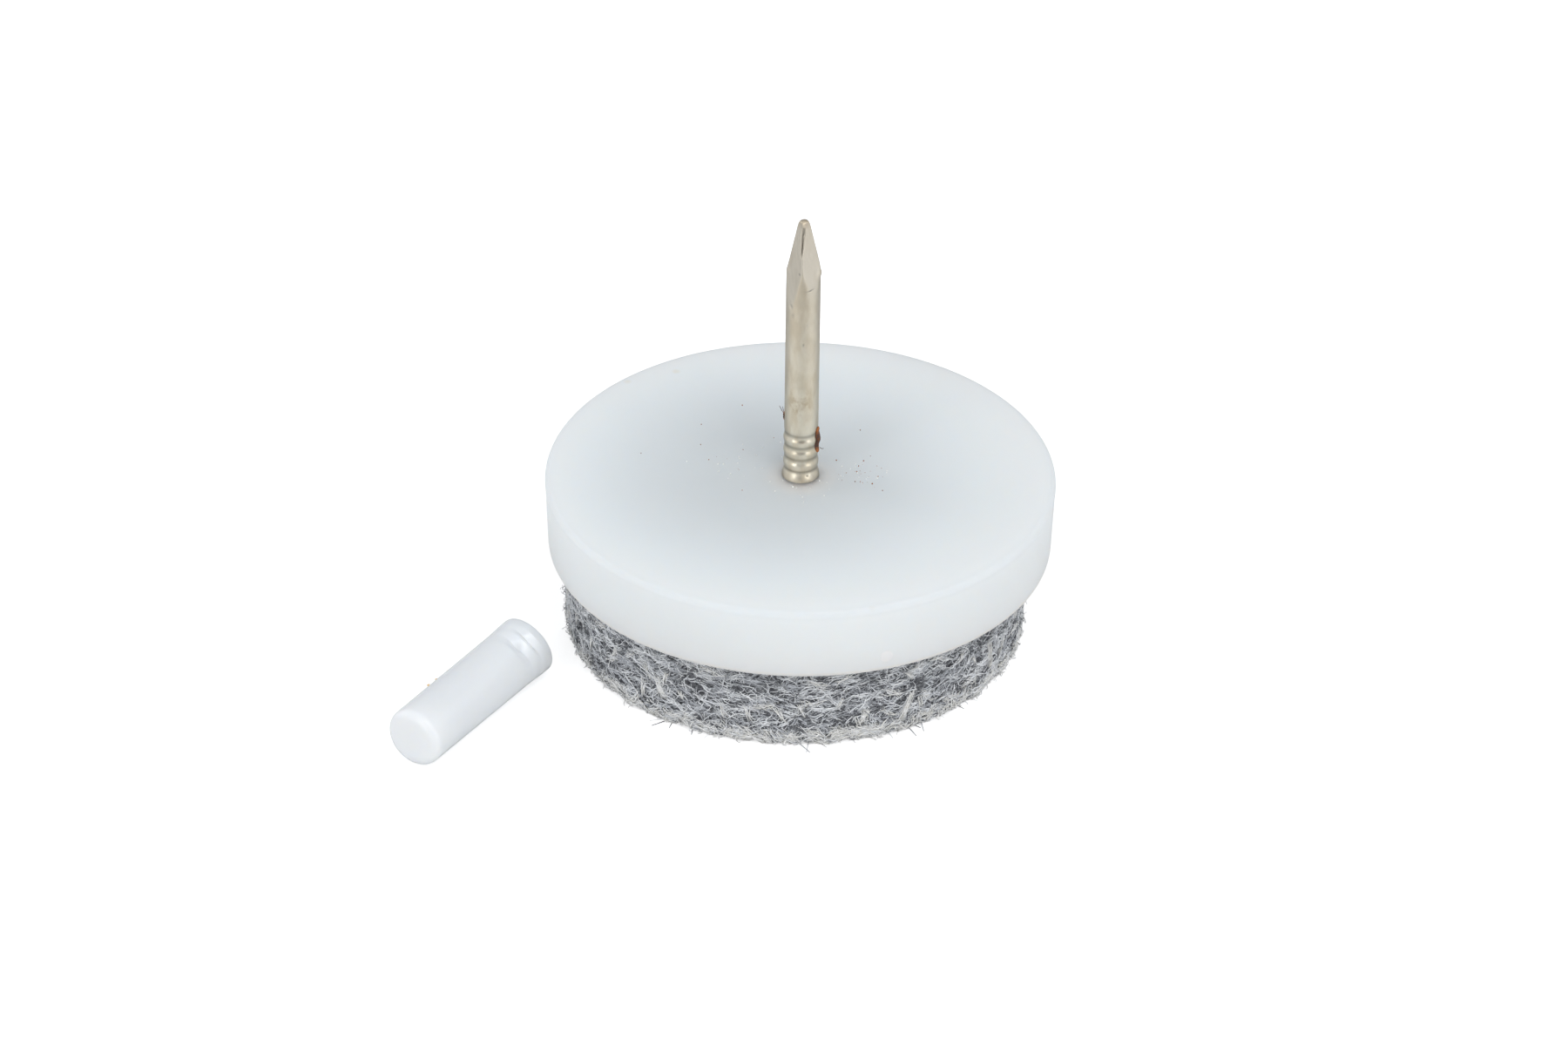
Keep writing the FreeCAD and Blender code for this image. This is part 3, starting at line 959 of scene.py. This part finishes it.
def needleTuft(rng, bearingDegrees, height, tall, count, lean):
    # Fibres drawn upright by the felting needle: a narrow bundle that fans out at both ends.
    share = np.linspace(-0.5, 0.5, fibre["steps"])[None, :]
    fan = rng.normal(0.0, tuft["width"], (count, 1)) + rng.normal(0.0, tuft["fan"], (count, 1)) * share
    bearing = bearingTurn(bearingDegrees) + (fan + lean * tall * share) / feltWide
    rise = height + tall * share * rng.uniform(*tuft["shares"], (count, 1))
    rise = np.clip(rise, fibre["lowest"], feltTop - fibre["underTop"])
    depth = rng.uniform(*tuft["depths"], (count, 1)) + tuft["bow"] * np.cos(np.pi * share)
    return placedOnWall(bearing, feltRadius(rise) + depth, rise)


def soleFibres(rng, count):
    # Fibres lying flat in the pad's underside, each a gently turning line.
    share = np.linspace(-0.5, 0.5, fibre["steps"])[None, :]
    widest = feltRadius(hair["lowest"]) - sole["inset"]
    distance = widest * np.sqrt(rng.uniform(0.0, 1.0, (count, 1)))
    bearing = rng.uniform(0.0, 2 * np.pi, (count, 1))
    heading = rng.uniform(0.0, 2 * np.pi, (count, 1)) + rng.normal(0.0, sole["wander"], (count, 1)) * share
    length = rng.uniform(*sole["lengths"], (count, 1))
    x = feltMiddle[0] + distance * np.cos(bearing) + length * share * np.cos(heading)
    y = feltMiddle[1] + distance * np.sin(bearing) + length * share * np.sin(heading)
    z = rng.uniform(*sole["heights"], (count, 1)) + 0.0 * share
    path = np.stack([x, y, z], axis=-1)
    return path, np.zeros_like(path) + np.array([0.0, 0.0, -1.0])


def tubes(paths, outward, radii):
    # A three-sided ring carried along each path, thinning to both ends, with a face over each end.
    count, steps = paths.shape[:2]
    ahead = np.gradient(paths, axis=1)
    ahead /= np.linalg.norm(ahead, axis=-1, keepdims=True) + 1e-12
    side = np.cross(ahead, outward)
    side /= np.linalg.norm(side, axis=-1, keepdims=True) + 1e-12
    lift = np.cross(ahead, side)
    swell = np.sin(np.pi * np.linspace(0.06, 0.94, steps)) ** 0.7
    taper = fibre["taper"] + (1.0 - fibre["taper"]) * swell
    size = (radii[:, None] * taper)[..., None, None]
    spoke = 2 * np.pi * np.arange(3) / 3
    ring = np.cos(spoke)[:, None] * side[:, :, None, :] + np.sin(spoke)[:, None] * lift[:, :, None, :]
    points = (paths[:, :, None, :] + size * ring).reshape(-1, 3)
    points[:, 2] = np.maximum(points[:, 2], fibre["floorGap"])
    corner = np.arange(3)[None, None, :]
    after = (corner + 1) % 3
    first = np.arange(count)[:, None, None] * steps * 3 + np.arange(steps - 1)[None, :, None] * 3
    quads = np.stack([first + corner, first + after, first + 3 + after, first + 3 + corner], axis=-1)
    ends = np.arange(count)[:, None] * steps * 3
    startFace = ends + np.array([2, 1, 0])
    endFace = ends + (steps - 1) * 3 + np.array([0, 1, 2])
    return points, quads.reshape(-1, 4), np.concatenate([startFace, endFace])


fibreTones = {
    # Two shades, depth in the wall, locks, single fibres, short and long stray hairs, fibres in the sole
    "felt_fibres_dark": {
        "shades": ((0.11, 0.115, 0.127, 1.0), (0.25, 0.257, 0.275, 1.0)),
        "depths": (-0.16, 0.04), "locks": 430, "singles": 2600, "hairs": 420, "longHairs": 16, "sole": 200,
    },
    "felt_fibres_grey": {
        "shades": ((0.46, 0.475, 0.51, 1.0), (0.72, 0.74, 0.775, 1.0)),
        "depths": (-0.14, 0.06), "locks": 460, "singles": 3300, "hairs": 560, "longHairs": 16, "sole": 250,
    },
    "felt_fibres_pale": {
        "shades": ((0.87, 0.89, 0.92, 1.0), (0.97, 0.98, 0.99, 1.0)),
        "depths": (-0.10, 0.10), "locks": 520, "singles": 3000, "hairs": 640, "longHairs": 12, "sole": 250,
    },
}


def makeFibres():
    rng = np.random.default_rng(felt["seed"] + 1)
    low, high, hairsHigh = fibre["low"], feltTop - fibre["topGap"], feltTop - hair["topGap"]
    lock, single = fibre["lockShape"], fibre["singleShape"]
    for name, tone in fibreTones.items():
        locks = inLocks(rng, tone["locks"], low, high, lock["spread"])
        locks = wallFibres(rng, locks, lock["lengths"], tone["depths"], lock["bend"])
        singles = scattered(rng, tone["singles"], low, high, single["spread"])
        singles = wallFibres(rng, singles, single["lengths"], tone["depths"], single["bend"])
        hairs = strayHairs(rng, tone["hairs"], low, hairsHigh, hair["lengths"])
        longHairs = strayHairs(rng, tone["longHairs"], low, hairsHigh, hair["longLengths"])
        batches = [locks, singles, hairs, longHairs, soleFibres(rng, tone["sole"])]
        paths, outward = (np.concatenate(part) for part in zip(*batches))
        radii = rng.uniform(*fibre["radii"], len(paths))
        firstHair = len(locks[0]) + len(singles[0])
        radii[firstHair:firstHair + len(hairs[0]) + len(longHairs[0])] *= hair["thinness"]
        makePiece(name, *tubes(paths, outward, radii), fibreMaterial(name, *tone["shades"]), "felt_wool")


fringe = {
    # Matted white locks along the lower edge and above it: count, heights, spread, lengths, depths, bend
    "lowLocks": (300, 0.05, 0.95, 0.9, (0.6, 1.5), (-0.10, 0.14), 1.6),
    "upperLocks": (60, 0.3, feltTop - 0.1, 0.6, (0.8, 1.8), (-0.02, 0.10), 1.2),
    "hairs": (1300, 0.05, 1.0, (0.2, 0.6)),  # count, heights, lengths
    # Tufts: bearing from the front in degrees, height, length and lean
    "tufts": [(28.8, 1.8, 2.2, 0.35), (17.5, 1.7, 1.3, 0.2), (57.0, 2.6, 2.0, -0.1), (-35.0, 2.4, 1.6, -0.3)],
    "tuftFibres": 20,
    "moreTufts": 46,  # thin ones, all round
    "moreFibres": 6,
    "moreLeast": (1.3, 0.7, -0.4),  # their least and greatest height, length and lean
    "moreMost": (4.2, 1.5, 0.4),
    "shades": ((0.875, 0.867, 0.83, 1.0), (0.98, 0.98, 0.98, 1.0)),
}


def makeFringe():
    rng = np.random.default_rng(felt["seed"] + 2)
    shapes = [fringe["lowLocks"], fringe["upperLocks"]]
    starts = [inLocks(rng, *shape[:4]) for shape in shapes]
    batches = [wallFibres(rng, start, *shape[4:]) for start, shape in zip(starts, shapes)]
    batches.append(strayHairs(rng, *fringe["hairs"]))
    for bearing, height, tall, lean in fringe["tufts"]:
        batches.append(needleTuft(rng, bearing, height, tall, fringe["tuftFibres"], lean))
    for each in range(fringe["moreTufts"]):
        bearing = (each + rng.uniform(0.0, 1.0)) * 360.0 / fringe["moreTufts"]
        height, tall, lean = rng.uniform(fringe["moreLeast"], fringe["moreMost"])
        batches.append(needleTuft(rng, bearing, height, tall, fringe["moreFibres"], lean))
    paths, outward = (np.concatenate(part) for part in zip(*batches))
    radii = rng.uniform(*fibre["radii"], len(paths))
    material = fibreMaterial("felt_fibres_white", *fringe["shades"])
    makePiece("felt_fibres_white", *tubes(paths, outward, radii), material, "felt_wool")


makeFeltBody()
makeFibres()
makeFringe()


# Cap for the nail's point, lying on the floor

cap = {
    "columns": 128,
    "bodyRows": 40,  # from the closed end to the mouth's stretch
    "mouthRows": 84,
    "mouthStretch": (2.7, 0.2),  # distances from the mouth with close rows
    "rowGap": 0.05,
    "length": 11.78,
    "endRadius": 1.8,
    "endRound": 0.5,
    "endGap": 0.15,  # from the rounding to the first row of the wall
    "neckRadius": 1.83,
    # Steps of the wall towards the mouth: start and end from the mouth, rise
    "steps": [(2.1, 1.4, 0.02), (1.3, 0.7, 0.03)],
    # Pinches behind the lip: distance from the mouth, length of the steep and of the gentle side, depth, turn
    # and half width in degrees
    "pinches": [(0.98, 0.25, 0.43, 0.27, 127.0, 24.0), (1.95, 0.9, 0.58, 0.36, 121.0, 26.0)],
    "rimRound": 0.08,
    "rimPull": 0.7,  # how far the rim turns in, as a share of its rounding
    "slant": 0.38,  # the mouth is cut this much shorter on one side and longer on the other
    "slantSide": 115.0,  # degrees, the short side, from the left over the top as seen along the heading
    "slantStretch": (3.2, 1.4),  # distances from the mouth over which the wall takes up the slant
    "boreRadius": 0.95,
    "leadIn": 0.15,
    "floor": 1.7,
    "middleHole": 0.2,  # radius that the fans at both ends close
    "heading": 57.4,  # degrees from +X, from the closed end to the mouth
    "lean": 0.62,  # degrees, the mouth a little higher
    "nudge": (0.0, -0.2, 0.0),  # it lies this far from the solid, nearer the viewer
    "sharp": 60.0,  # degrees, above which an edge is left unsmoothed
    "colour": (0.935, 0.975, 1.0, 1.0),
    "shade": (0.915, 0.965, 1.0, 1.0),
    "shadeShare": 0.5,
}


def capMaterial():
    material, tree, shader = newMaterial("soft_milky_plastic")
    cloud = mask(tree, mottle, Scale=420.0, Detail=2.0, Low=0.35, High=0.7)
    grain = mask(tree, mottle, Scale=2600.0, Detail=4.0, Low=0.2, High=0.8)
    bumped(tree, shader, grain, 0.004 * mm, 0.3)
    setInputs(tree, shader, {
        "Base Color": mixColour(tree, scaled(tree, cloud, cap["shadeShare"]), cap["colour"], cap["shade"]),
        "Roughness": scaled(tree, grain, 0.08, 0.13),
        "IOR": 1.48,
        "Subsurface Weight": 0.6,
        "Subsurface Radius": (1.1, 1.0, 0.85),
        "Subsurface Scale": 1.5 * mm,
    })
    return material


def capWall(fromMouth):
    # Outer radius towards the mouth: the drafted body, smooth steps for a low swelling and for the lip, and
    # an elliptical rounding at the rim.
    length = cap["length"]
    body = np.interp(length - fromMouth, [0.0, length], [cap["endRadius"], cap["neckRadius"]])
    for start, end, rise in cap["steps"]:
        body = body + rise * smoothStep(fromMouth, start, end)
    rounding = np.clip(1.0 - fromMouth / cap["rimRound"], 0.0, 1.0)
    return body - cap["rimPull"] * cap["rimRound"] * (1.0 - np.sqrt(1.0 - rounding ** 2))


def capSection():
    # Radius and distance from the closed end: end face, rounding, wall, rim, lead-in, bore and its floor.
    length, end, edge, bore = cap["length"], cap["endRadius"], cap["endRound"], cap["boreRadius"]
    hole, floor, leadIn = cap["middleHole"], cap["floor"], cap["leadIn"]
    far, near = cap["mouthStretch"]
    fromMouth = np.concatenate([
        np.linspace(length - edge - cap["endGap"], far + cap["rowGap"], cap["bodyRows"]),
        np.linspace(far, near, cap["mouthRows"]),
        cap["rimRound"] * (1.0 - np.sin(np.linspace(0.0, np.pi / 2, 10))),
    ])
    wall = np.stack([capWall(fromMouth), length - fromMouth], axis=-1)
    return np.concatenate([
        line((hole, 0.0), (end - edge, 0.0), 6),
        arc((end - edge, edge), edge, -90.0, 0.0, 12),
        wall,
        line((wall[-1, 0] - cap["rowGap"], length), (bore + leadIn, length), 3),
        line((bore + leadIn, length), (bore, length - leadIn), 4),
        line((bore, length - leadIn), (bore, floor), 24),
        line((bore, floor), (hole, floor), 4),
    ])


def makeCap():
    # The section spun about the cap's own axis, pinched behind the lip by ramps that meet at the deepest
    # place, slanted at the mouth by a cosine, then laid along its heading.
    length, section, turns = cap["length"], capSection(), roundTurns(cap["columns"])
    radius = section[:, 0, None]
    grid = spun(section, turns)
    outside = radius > cap["boreRadius"] + 2 * cap["leadIn"]
    for place, steep, gentle, depth, side, half in cap["pinches"]:
        beyond = length - grid[..., 2] - place
        dent = np.clip(np.where(beyond > 0.0, 1.0 - beyond / steep, 1.0 + beyond / gentle), 0.0, 1.0)
        dent = depth * dent * bell(np.degrees(turns) - side, half) * outside
        grid[..., :2] *= (1.0 - dent / radius)[..., None]
    nearMouth = smoothStep(grid[..., 2], *(length - edge for edge in cap["slantStretch"]))
    grid[..., 2] -= cap["slant"] * nearMouth * np.cos(turns - np.radians(cap["slantSide"]))
    heading, lean = np.radians([cap["heading"], cap["lean"]])
    axis = np.array([np.cos(lean) * np.cos(heading), np.cos(lean) * np.sin(heading), np.sin(lean)])
    across = np.array([-np.sin(heading), np.cos(heading), 0.0])
    over = np.cross(axis, across)
    laid = grid @ np.stack([across, over, axis])
    closedEnd = capLow - laid.reshape(-1, 3).min(axis=0) + cap["nudge"]
    piece = makePiece("soft_cap", *closedGrid(laid + closedEnd), capMaterial(), "cap_plastic", cap["sharp"])
    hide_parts("nail_cap")
    return closedEnd, axis


capEnd, capAxis = makeCap()


# Dirt: rust flakes on the nail, crumbs on the seat, specks on the cap

dirt = {
    "seed": 23,
    # Flakes on the nail: bearing in degrees, lowest and highest rise, half width, half thickness
    "flakes": [(72.0, 1.72, 3.5, 0.34, 0.09), (-86.0, 3.75, 4.35, 0.07, 0.05)],
    "flakeRagged": 0.22,
    "raggedWaves": (16, 3, 0.2),
    "flakeWander": 0.15,
    "wanderWaves": (5, 1, 0.6),
    "flakeLift": 0.3,  # its middle above the wire, in half thicknesses
    # Hairs on the flakes, each three points of bearing, distance from the axis and rise
    "hairs": [
        [(80.0, 1.10, 2.0), (84.0, 1.20, 1.78), (86.0, 1.34, 1.84)],
        [(-86.0, 1.04, 4.2), (-90.0, 1.16, 4.38), (-94.0, 1.30, 4.62)],
        [(-86.0, 1.04, 4.25), (-88.0, 1.07, 4.5), (-84.0, 1.13, 4.7)],
    ],
    "hairRadius": 0.02,
    # Brown crumbs on the seat: x, y and size
    "crumbs": [
        (3.5, 4.9, 0.055), (-5.9, 5.3, 0.045), (-5.9, 3.05, 0.06), (-5.4, 1.4, 0.04), (-3.4, 2.55, 0.04),
        (-1.6, 3.9, 0.04), (-3.4, -1.9, 0.04), (2.1, 1.5, 0.06), (3.7, 1.5, 0.055), (3.4, 0.9, 0.05),
        (3.3, 0.3, 0.045), (3.2, -0.8, 0.05), (3.5, -0.8, 0.045), (4.2, -1.0, 0.055), (4.55, -0.2, 0.04),
        (4.8, -1.7, 0.045), (-9.4, 2.0, 0.045), (-3.5, 7.5, 0.05),
    ],
    "crumbScale": 0.85,
    # Heaps of pale and rusty dust: middle x and y, spread, pale count, rusty count
    "dust": [(3.6, 0.1, 0.75, 16, 16), (-3.0, 1.6, 1.3, 22, 6), (0.6, -1.9, 1.1, 14, 4)],
    "rustySizes": (0.014, 0.028),
    "paleSizes": (0.026, 0.048),
    "nailGap": 0.15,  # kept free round the nail
    "specks": [(3.7, 0.12), (4.5, 0.09), (5.6, 0.05)],  # on the cap: place from its closed end, size
    "speckSide": (-0.65, 0.41, 0.64),
    "speckSink": 0.01,
    "darkColour": (0.055, 0.022, 0.014, 1.0),
    "crumbColour": (0.26, 0.13, 0.09, 1.0),
    "rustColour": (0.42, 0.145, 0.04, 1.0),
    "paleColour": (1.0, 1.0, 0.98, 1.0),
    "tanColour": (0.85, 0.58, 0.28, 1.0),
}


def dirtMaterial(name, dark, light):
    # Crusty dirt: two colours in small clouds, light where the piece's own "fresh" value is high.
    material, tree, shader = newMaterial(name)
    cloud = mask(tree, mottle, Scale=6000.0, Detail=3.0, Low=0.35, High=0.65)
    share = numberMath(tree, "ADD", scaled(tree, cloud, 0.3), attribute(tree, "fresh"), clamp=True)
    bumped(tree, shader, cloud, 0.02 * mm, 0.6)
    colour = mixColour(tree, share, dark, light)
    setInputs(tree, shader, {"Base Color": colour, "Roughness": scaled(tree, cloud, 0.3, 0.55)})
    return material


def makeFlake(rng, name, bearing, low, high, halfWidth, halfThick):
    # A ragged lens on the wire: an ellipse across and outwards carried up the nail, its size wandering.
    share = np.linspace(0.03, 0.97, 26)[:, None]
    turn = np.linspace(0.0, 2 * np.pi, 12, endpoint=False)[None, :]
    ragged = 1.0 + dirt["flakeRagged"] * ripples(rng, turn, share, *dirt["raggedWaves"])
    size = np.sin(np.pi * share) ** 0.5 * ragged
    aside = dirt["flakeWander"] * ripples(rng, 0.0 * turn, share, *dirt["wanderWaves"])
    across = halfWidth * (aside - size * np.cos(turn))
    rise = low + (high - low) * share + 0.0 * turn
    distance = shankRadius(rise) + halfThick * (dirt["flakeLift"] + size * np.sin(turn))
    grid = around(distance, bearingTurn(bearing) + across / distance, seatZ + rise)
    material = dirtMaterial(name, dirt["darkColour"], dirt["rustColour"])
    piece = makePiece(name, *closedGrid(grid), material, "nail_steel")
    fresh = np.clip(1.6 * np.abs(2.0 * share - 1.0) ** 1.6 - 0.4, 0.0, 1.0) + 0.0 * turn  # towards its ends
    setValues(piece, "fresh", np.concatenate([fresh.ravel(), [1.0, 1.0]]))


def makeHairs():
    # Each hair bends through its three points as a quadratic curve.
    share = np.linspace(0.0, 1.0, 7)[None, :, None]
    bearing, distance, rise = np.moveaxis(np.array(dirt["hairs"]), -1, 0)
    knots = around(distance, bearingTurn(bearing), seatZ + rise)
    first, second, third = (knots[:, each, None, :] for each in range(3))
    paths = (1 - share) ** 2 * first + 2 * share * (1 - share) * second + share ** 2 * third
    outward = np.zeros_like(paths) + np.array([0.0, -1.0, 0.0])
    material = dirtMaterial("dirt_hairs", dirt["darkColour"], dirt["rustColour"])
    parts = tubes(paths, outward, np.full(len(paths), dirt["hairRadius"]))
    piece = makePiece("dirt_hairs", *parts, material, "nail_steel")
    setValues(piece, "fresh", np.zeros(len(piece.data.vertices)))


def makeLumps(rng, name, centres, sizes, dark, light, slot):
    # Little balls of 4 rows by 6 columns, every corner pushed in or out, each at its own centre and size.
    lift = np.radians([-55.0, -18.0, 18.0, 55.0])[:, None]
    corners, quads, tris = closedGrid(around(np.cos(lift), roundTurns(6)[None, :], np.sin(lift)))
    count, perBall = len(centres), len(corners)
    pushed = corners * rng.uniform(0.6, 1.25, (count, perBall, 1)) * rng.uniform(0.7, 1.3, (count, 1, 3))
    points = (centres[:, None, :] + sizes[:, None, None] * pushed).reshape(-1, 3)
    first = (np.arange(count) * perBall)[:, None, None]
    quads, tris = (quads + first).reshape(-1, 4), (tris + first).reshape(-1, 3)
    piece = makePiece(name, points, quads, tris, dirtMaterial(name, dark, light), slot)
    setValues(piece, "fresh", np.repeat(rng.uniform(0.0, 0.7, count), perBall))


def onSeat(places, sizes):
    # Places in the plane to points that sit on the dished seat.
    return np.column_stack([places, seatZ - seatDish(np.hypot(*places.T)) + 0.5 * sizes])


def makeCrumbs(rng):
    # The listed crumbs, then heaps that thin out from their middles, all clear of the nail.
    listed = np.array(dirt["crumbs"])
    pale, rusty = [], [listed[:, :2]]
    for x, y, spread, paleCount, rustyCount in dirt["dust"]:
        pale.append(rng.normal((x, y), spread, (paleCount, 2)))
        rusty.append(rng.normal((x, y), spread, (rustyCount, 2)))
    pale, rusty = (np.concatenate(places) for places in (pale, rusty))
    clear = insert["radius"] + dirt["nailGap"]
    pale = pale[np.hypot(*pale.T) > clear]
    dustSizes = rng.uniform(*dirt["rustySizes"], len(rusty) - len(listed))
    rustySizes = np.concatenate([dirt["crumbScale"] * listed[:, 2], dustSizes])
    paleSizes = rng.uniform(*dirt["paleSizes"], len(pale))
    apart = np.hypot(*rusty.T) > clear
    rusty, rustySizes = rusty[apart], rustySizes[apart]
    for name, places, sizes, dark, light in (
        ("rust_crumbs", rusty, rustySizes, dirt["crumbColour"], dirt["rustColour"]),
        ("pale_crumbs", pale, paleSizes, dirt["paleColour"], dirt["paleColour"]),
    ):
        makeLumps(rng, name, onSeat(places, sizes), sizes, dark, light, "disc_plastic")


def makeSpecks(rng):
    # A row along the cap, on the side of its wall that is square to its axis.
    side = np.array(dirt["speckSide"])
    side = side - capAxis * (side @ capAxis)
    side /= np.linalg.norm(side)
    places, sizes = np.array(dirt["specks"]).T
    specks = capEnd + places[:, None] * capAxis + side * (cap["endRadius"] - dirt["speckSink"])
    makeLumps(rng, "cap_specks", specks, sizes, dirt["tanColour"], dirt["tanColour"], "cap_plastic")


def makeDirt():
    rng = np.random.default_rng(dirt["seed"])
    for number, flake in enumerate(dirt["flakes"]):
        makeFlake(rng, f"rust_flake_{number}", *flake)
    makeHairs()
    makeCrumbs(rng)
    makeSpecks(rng)


makeDirt()


# Floor and light

studio = {
    "floorHalf": 3.0,  # metres
    "floorColour": (0.76, 0.76, 0.76, 1.0),
    "floorDark": (0.10, 0.10, 0.10, 1.0),  # what the object sees of the floor towards the viewer
    "floorReach": (-75.0, -32.0),  # y where the floor is dark, and where it starts to darken
    "floorGlow": 0.60,  # what the eye sees of the floor's own light, which keeps shadows faint
    "white": (1.0, 1.0, 1.0, 1.0),
    "domeColour": (0.95, 0.985, 1.03, 1.0),
    "domeStrength": 0.48,
    "viewerColour": (0.16, 0.16, 0.16, 1.0),  # the dark side of the room, towards the front
    "viewerSpan": (34.0, 14.0),  # degrees from its middle over which it darkens
    "viewerElevation": 6.0,
    # Panels: bearing from the front and elevation in degrees, width and height in metres, power in watts
    "panels": [
        (-37.0, 28.0, 0.24, 0.54, 0.52),
        (45.0, 30.0, 0.26, 0.58, 0.50),
        (-43.0, 3.5, 0.20, 0.065, 0.25),
        (46.0, 3.5, 0.20, 0.065, 0.25),
        (17.0, 55.0, 0.20, 0.19, 0.56),
        (-108.0, 22.0, 0.30, 0.38, 0.46),
        (112.0, 22.0, 0.30, 0.38, 0.22),
        (180.0, 78.0, 0.50, 0.50, 0.12),
    ],
    "panelDistance": 0.55,
}


def addFloor():
    # One large square on the ground, pale to the eye, which alone sees its glow, and dark for the object far
    # in front.
    mesh = bpy.data.meshes.new("floor")
    corners = np.array([[-1, -1, 0], [1, -1, 0], [1, 1, 0], [-1, 1, 0]]) * studio["floorHalf"]
    mesh.from_pydata(corners.tolist(), [], [[0, 1, 2, 3]])
    material, tree, shader = newMaterial("pale_floor")
    seen = addNode(tree, "ShaderNodeLightPath").outputs["Is Camera Ray"]
    front = ramp(tree, along(tree, objectPoint(tree), "Y"), *metres(studio["floorReach"]), 1.0, 0.0)
    unseen = numberMath(tree, "MULTIPLY", front, scaled(tree, seen, -1.0, 1.0))
    setInputs(tree, shader, {
        "Base Color": mixColour(tree, unseen, studio["floorColour"], studio["floorDark"]),
        "Roughness": 0.9,
        "Emission Color": studio["white"],
        "Emission Strength": scaled(tree, seen, studio["floorGlow"]),
    })
    mesh.materials.append(material)
    floor = bpy.data.objects.new("floor", mesh)
    scene.collection.objects.link(floor)


def addPanel(name, bearing, elevation, width, height, power):
    # A panel on a sphere about the object, facing its middle.
    turn, lift = bearingTurn(bearing), np.radians(elevation)
    toward = Vector((np.cos(lift) * np.cos(turn), np.cos(lift) * np.sin(turn), np.sin(lift)))
    data = bpy.data.lights.new(name, "AREA")
    data.shape = "RECTANGLE"
    data.size = width
    data.size_y = height
    data.energy = power
    panel = bpy.data.objects.new(name, data)
    panel.location = toward * studio["panelDistance"]
    panel.rotation_euler = toward.to_track_quat("Z", "Y").to_euler()
    scene.collection.objects.link(panel)


def addDome():
    # A pale dome, dark towards the front, which the eye itself sees as plain white.
    world = bpy.data.worlds.new("studio")
    world.use_nodes = True
    tree = world.node_tree
    lift = np.radians(studio["viewerElevation"])
    direction = addNode(tree, "ShaderNodeTexCoord").outputs["Generated"]
    nearness = vectorMath(tree, "DOT_PRODUCT", direction, (0.0, -np.cos(lift), np.sin(lift)))
    fade = ramp(tree, nearness, *np.cos(np.radians(studio["viewerSpan"])))
    colour = mixColour(tree, fade, studio["domeColour"], studio["viewerColour"])
    background = tree.nodes["Background"]
    setInputs(tree, background, {"Color": colour, "Strength": studio["domeStrength"]})
    white = addNode(tree, "ShaderNodeBackground", {"Color": studio["white"]})
    seen = addNode(tree, "ShaderNodeLightPath").outputs["Is Camera Ray"]
    either = addNode(tree, "ShaderNodeMixShader", {0: seen, 1: background.outputs[0], 2: white.outputs[0]})
    tree.links.new(either.outputs[0], tree.nodes["World Output"].inputs["Surface"])
    scene.world = world


addFloor()
addDome()
for number, panel in enumerate(studio["panels"]):
    addPanel(f"panel_{number}", *panel)
print("floor and lights ready")
